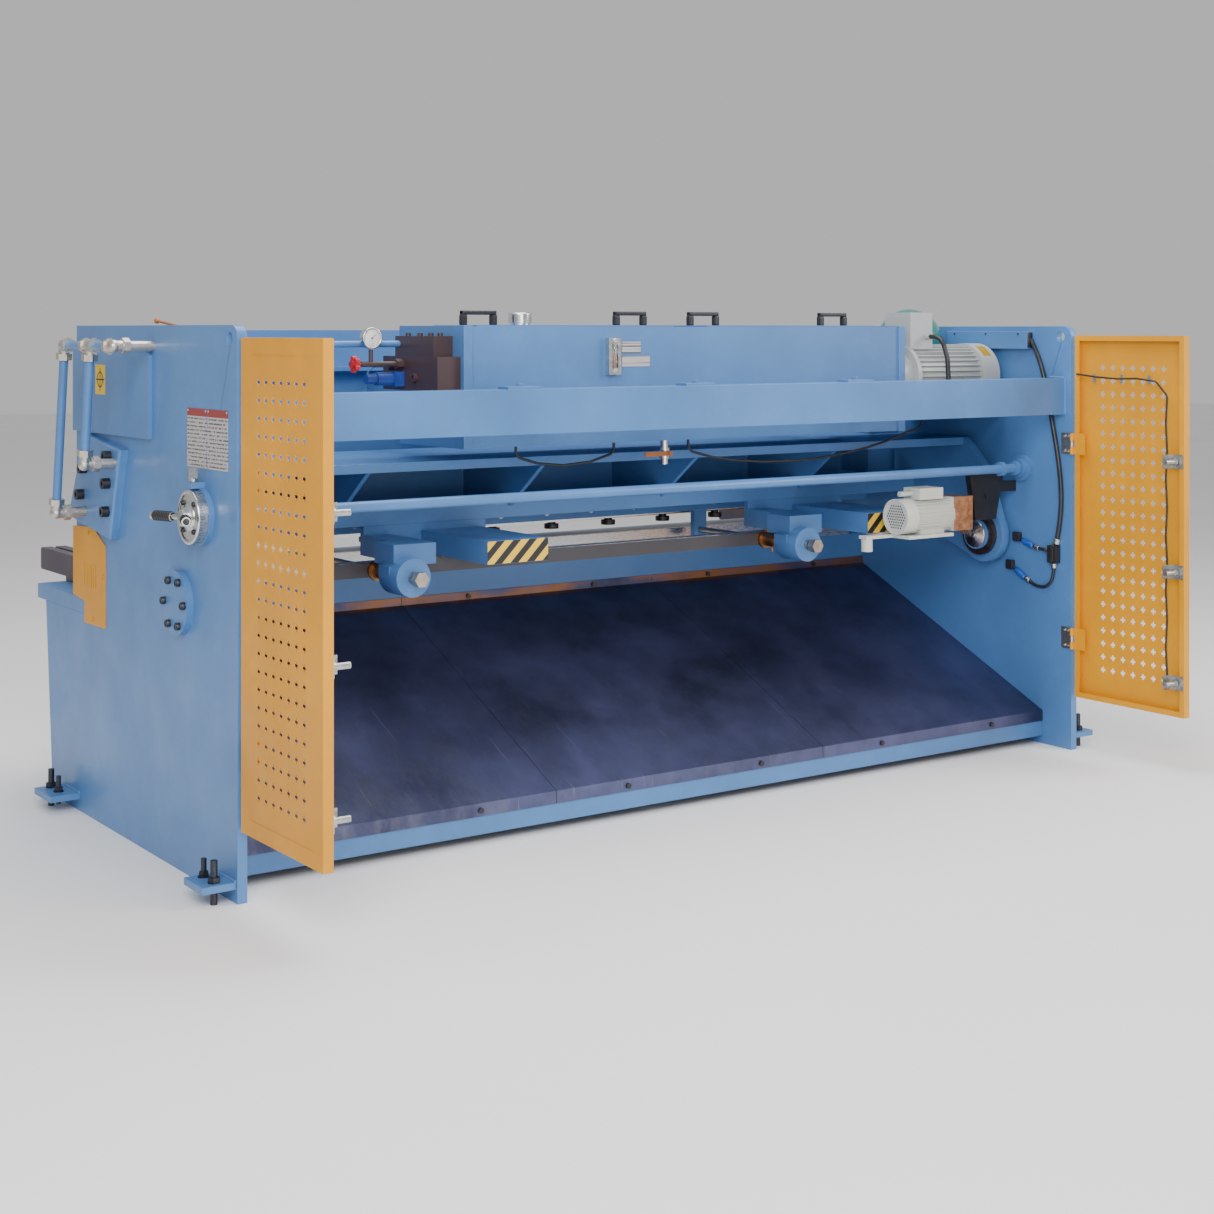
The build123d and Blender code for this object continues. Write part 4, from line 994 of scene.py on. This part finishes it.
class SHEAR_OT_stage(bpy.types.Operator):
    """Lays a pale floor, soft lights and the camera"""
    bl_idname = "shear.stage"
    bl_label = "Stage"

    def execute(self, context):
        stage = context.scene.shear_stage
        bm = bmesh.new()
        bmesh.ops.create_grid(bm, x_segments=1, y_segments=1, size=30)
        mesh = bpy.data.meshes.new("floor")
        bm.to_mesh(mesh)
        bm.free()
        mesh.materials.append(floor_finish())
        floor = bpy.data.objects.new("floor", mesh)
        context.scene.collection.objects.link(floor)
        world = bpy.data.worlds.new("studio")
        world.use_nodes = True
        background = world.node_tree.nodes["Background"]
        background.inputs["Color"].default_value = (1.0, 1.0, 1.0, 1)
        background.inputs["Strength"].default_value = 0.55
        context.scene.world = world
        lights = (((4.5, 5.5, 4.2), 3.5, 1.0), ((-4.8, 4.2, 3.6), 3.0, 0.55),
                  ((0.0, 0.0, 5.5), 4.0, 0.7), ((2.0, 6.5, 0.9), 2.5, 0.22))
        for place, size, share in lights:
            lamp = bpy.data.lights.new("soft_light", "AREA")
            lamp.energy = stage.power * share
            lamp.size = size
            holder = bpy.data.objects.new("soft_light", lamp)
            holder.location = place
            aim = Vector((0, 0, 0.8)) - Vector(place)
            holder.rotation_euler = aim.to_track_quat("-Z", "Y").to_euler()
            context.scene.collection.objects.link(holder)
        lens = bpy.data.cameras.new("camera")
        lens.sensor_width = 36
        lens.lens = stage.lens
        lens.shift_y = -0.2283
        camera = bpy.data.objects.new("camera", lens)
        camera.location = stage.eye
        camera.rotation_euler = (math.radians(90), 0, stage.heading)
        context.scene.collection.objects.link(camera)
        context.scene.camera = camera
        return {"FINISHED"}


class SHEAR_PT_panel(bpy.types.Panel):
    """Lists the finishing steps and their settings"""
    bl_label = "Plate Shear"
    bl_space_type = "VIEW_3D"
    bl_region_type = "UI"
    bl_category = "Plate Shear"

    def draw(self, context):
        layout = self.layout
        for group, names in ((context.scene.shear_paint, ShearPaint.__annotations__),
                             (context.scene.shear_detail, ShearDetail.__annotations__),
                             (context.scene.shear_stage, ShearStage.__annotations__)):
            for name in names:
                layout.prop(group, name)
        for operator in OPERATORS:
            layout.operator(operator.bl_idname)


OPERATORS = (SHEAR_OT_structure, SHEAR_OT_steelwork, SHEAR_OT_fittings, SHEAR_OT_handles,
             SHEAR_OT_hazard, SHEAR_OT_gauge_face, SHEAR_OT_level_glass, SHEAR_OT_bolts,
             SHEAR_OT_dial, SHEAR_OT_symbol, SHEAR_OT_welds, SHEAR_OT_clips,
             SHEAR_OT_motor_label, SHEAR_OT_wall_lines, SHEAR_OT_small_steel, SHEAR_OT_stage)
CLASSES = (ShearPaint, ShearDetail, ShearStage, *OPERATORS, SHEAR_PT_panel)


def register():
    for cls in CLASSES:
        bpy.utils.register_class(cls)
    bpy.types.Scene.shear_paint = PointerProperty(type=ShearPaint)
    bpy.types.Scene.shear_detail = PointerProperty(type=ShearDetail)
    bpy.types.Scene.shear_stage = PointerProperty(type=ShearStage)


def unregister():
    del bpy.types.Scene.shear_stage
    del bpy.types.Scene.shear_detail
    del bpy.types.Scene.shear_paint
    for cls in reversed(CLASSES):
        bpy.utils.unregister_class(cls)


def main():
    register()
    for operator in OPERATORS:
        group, name = operator.bl_idname.split(".")
        getattr(getattr(bpy.ops, group), name)()
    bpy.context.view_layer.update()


if __name__ == "__main__":
    main()
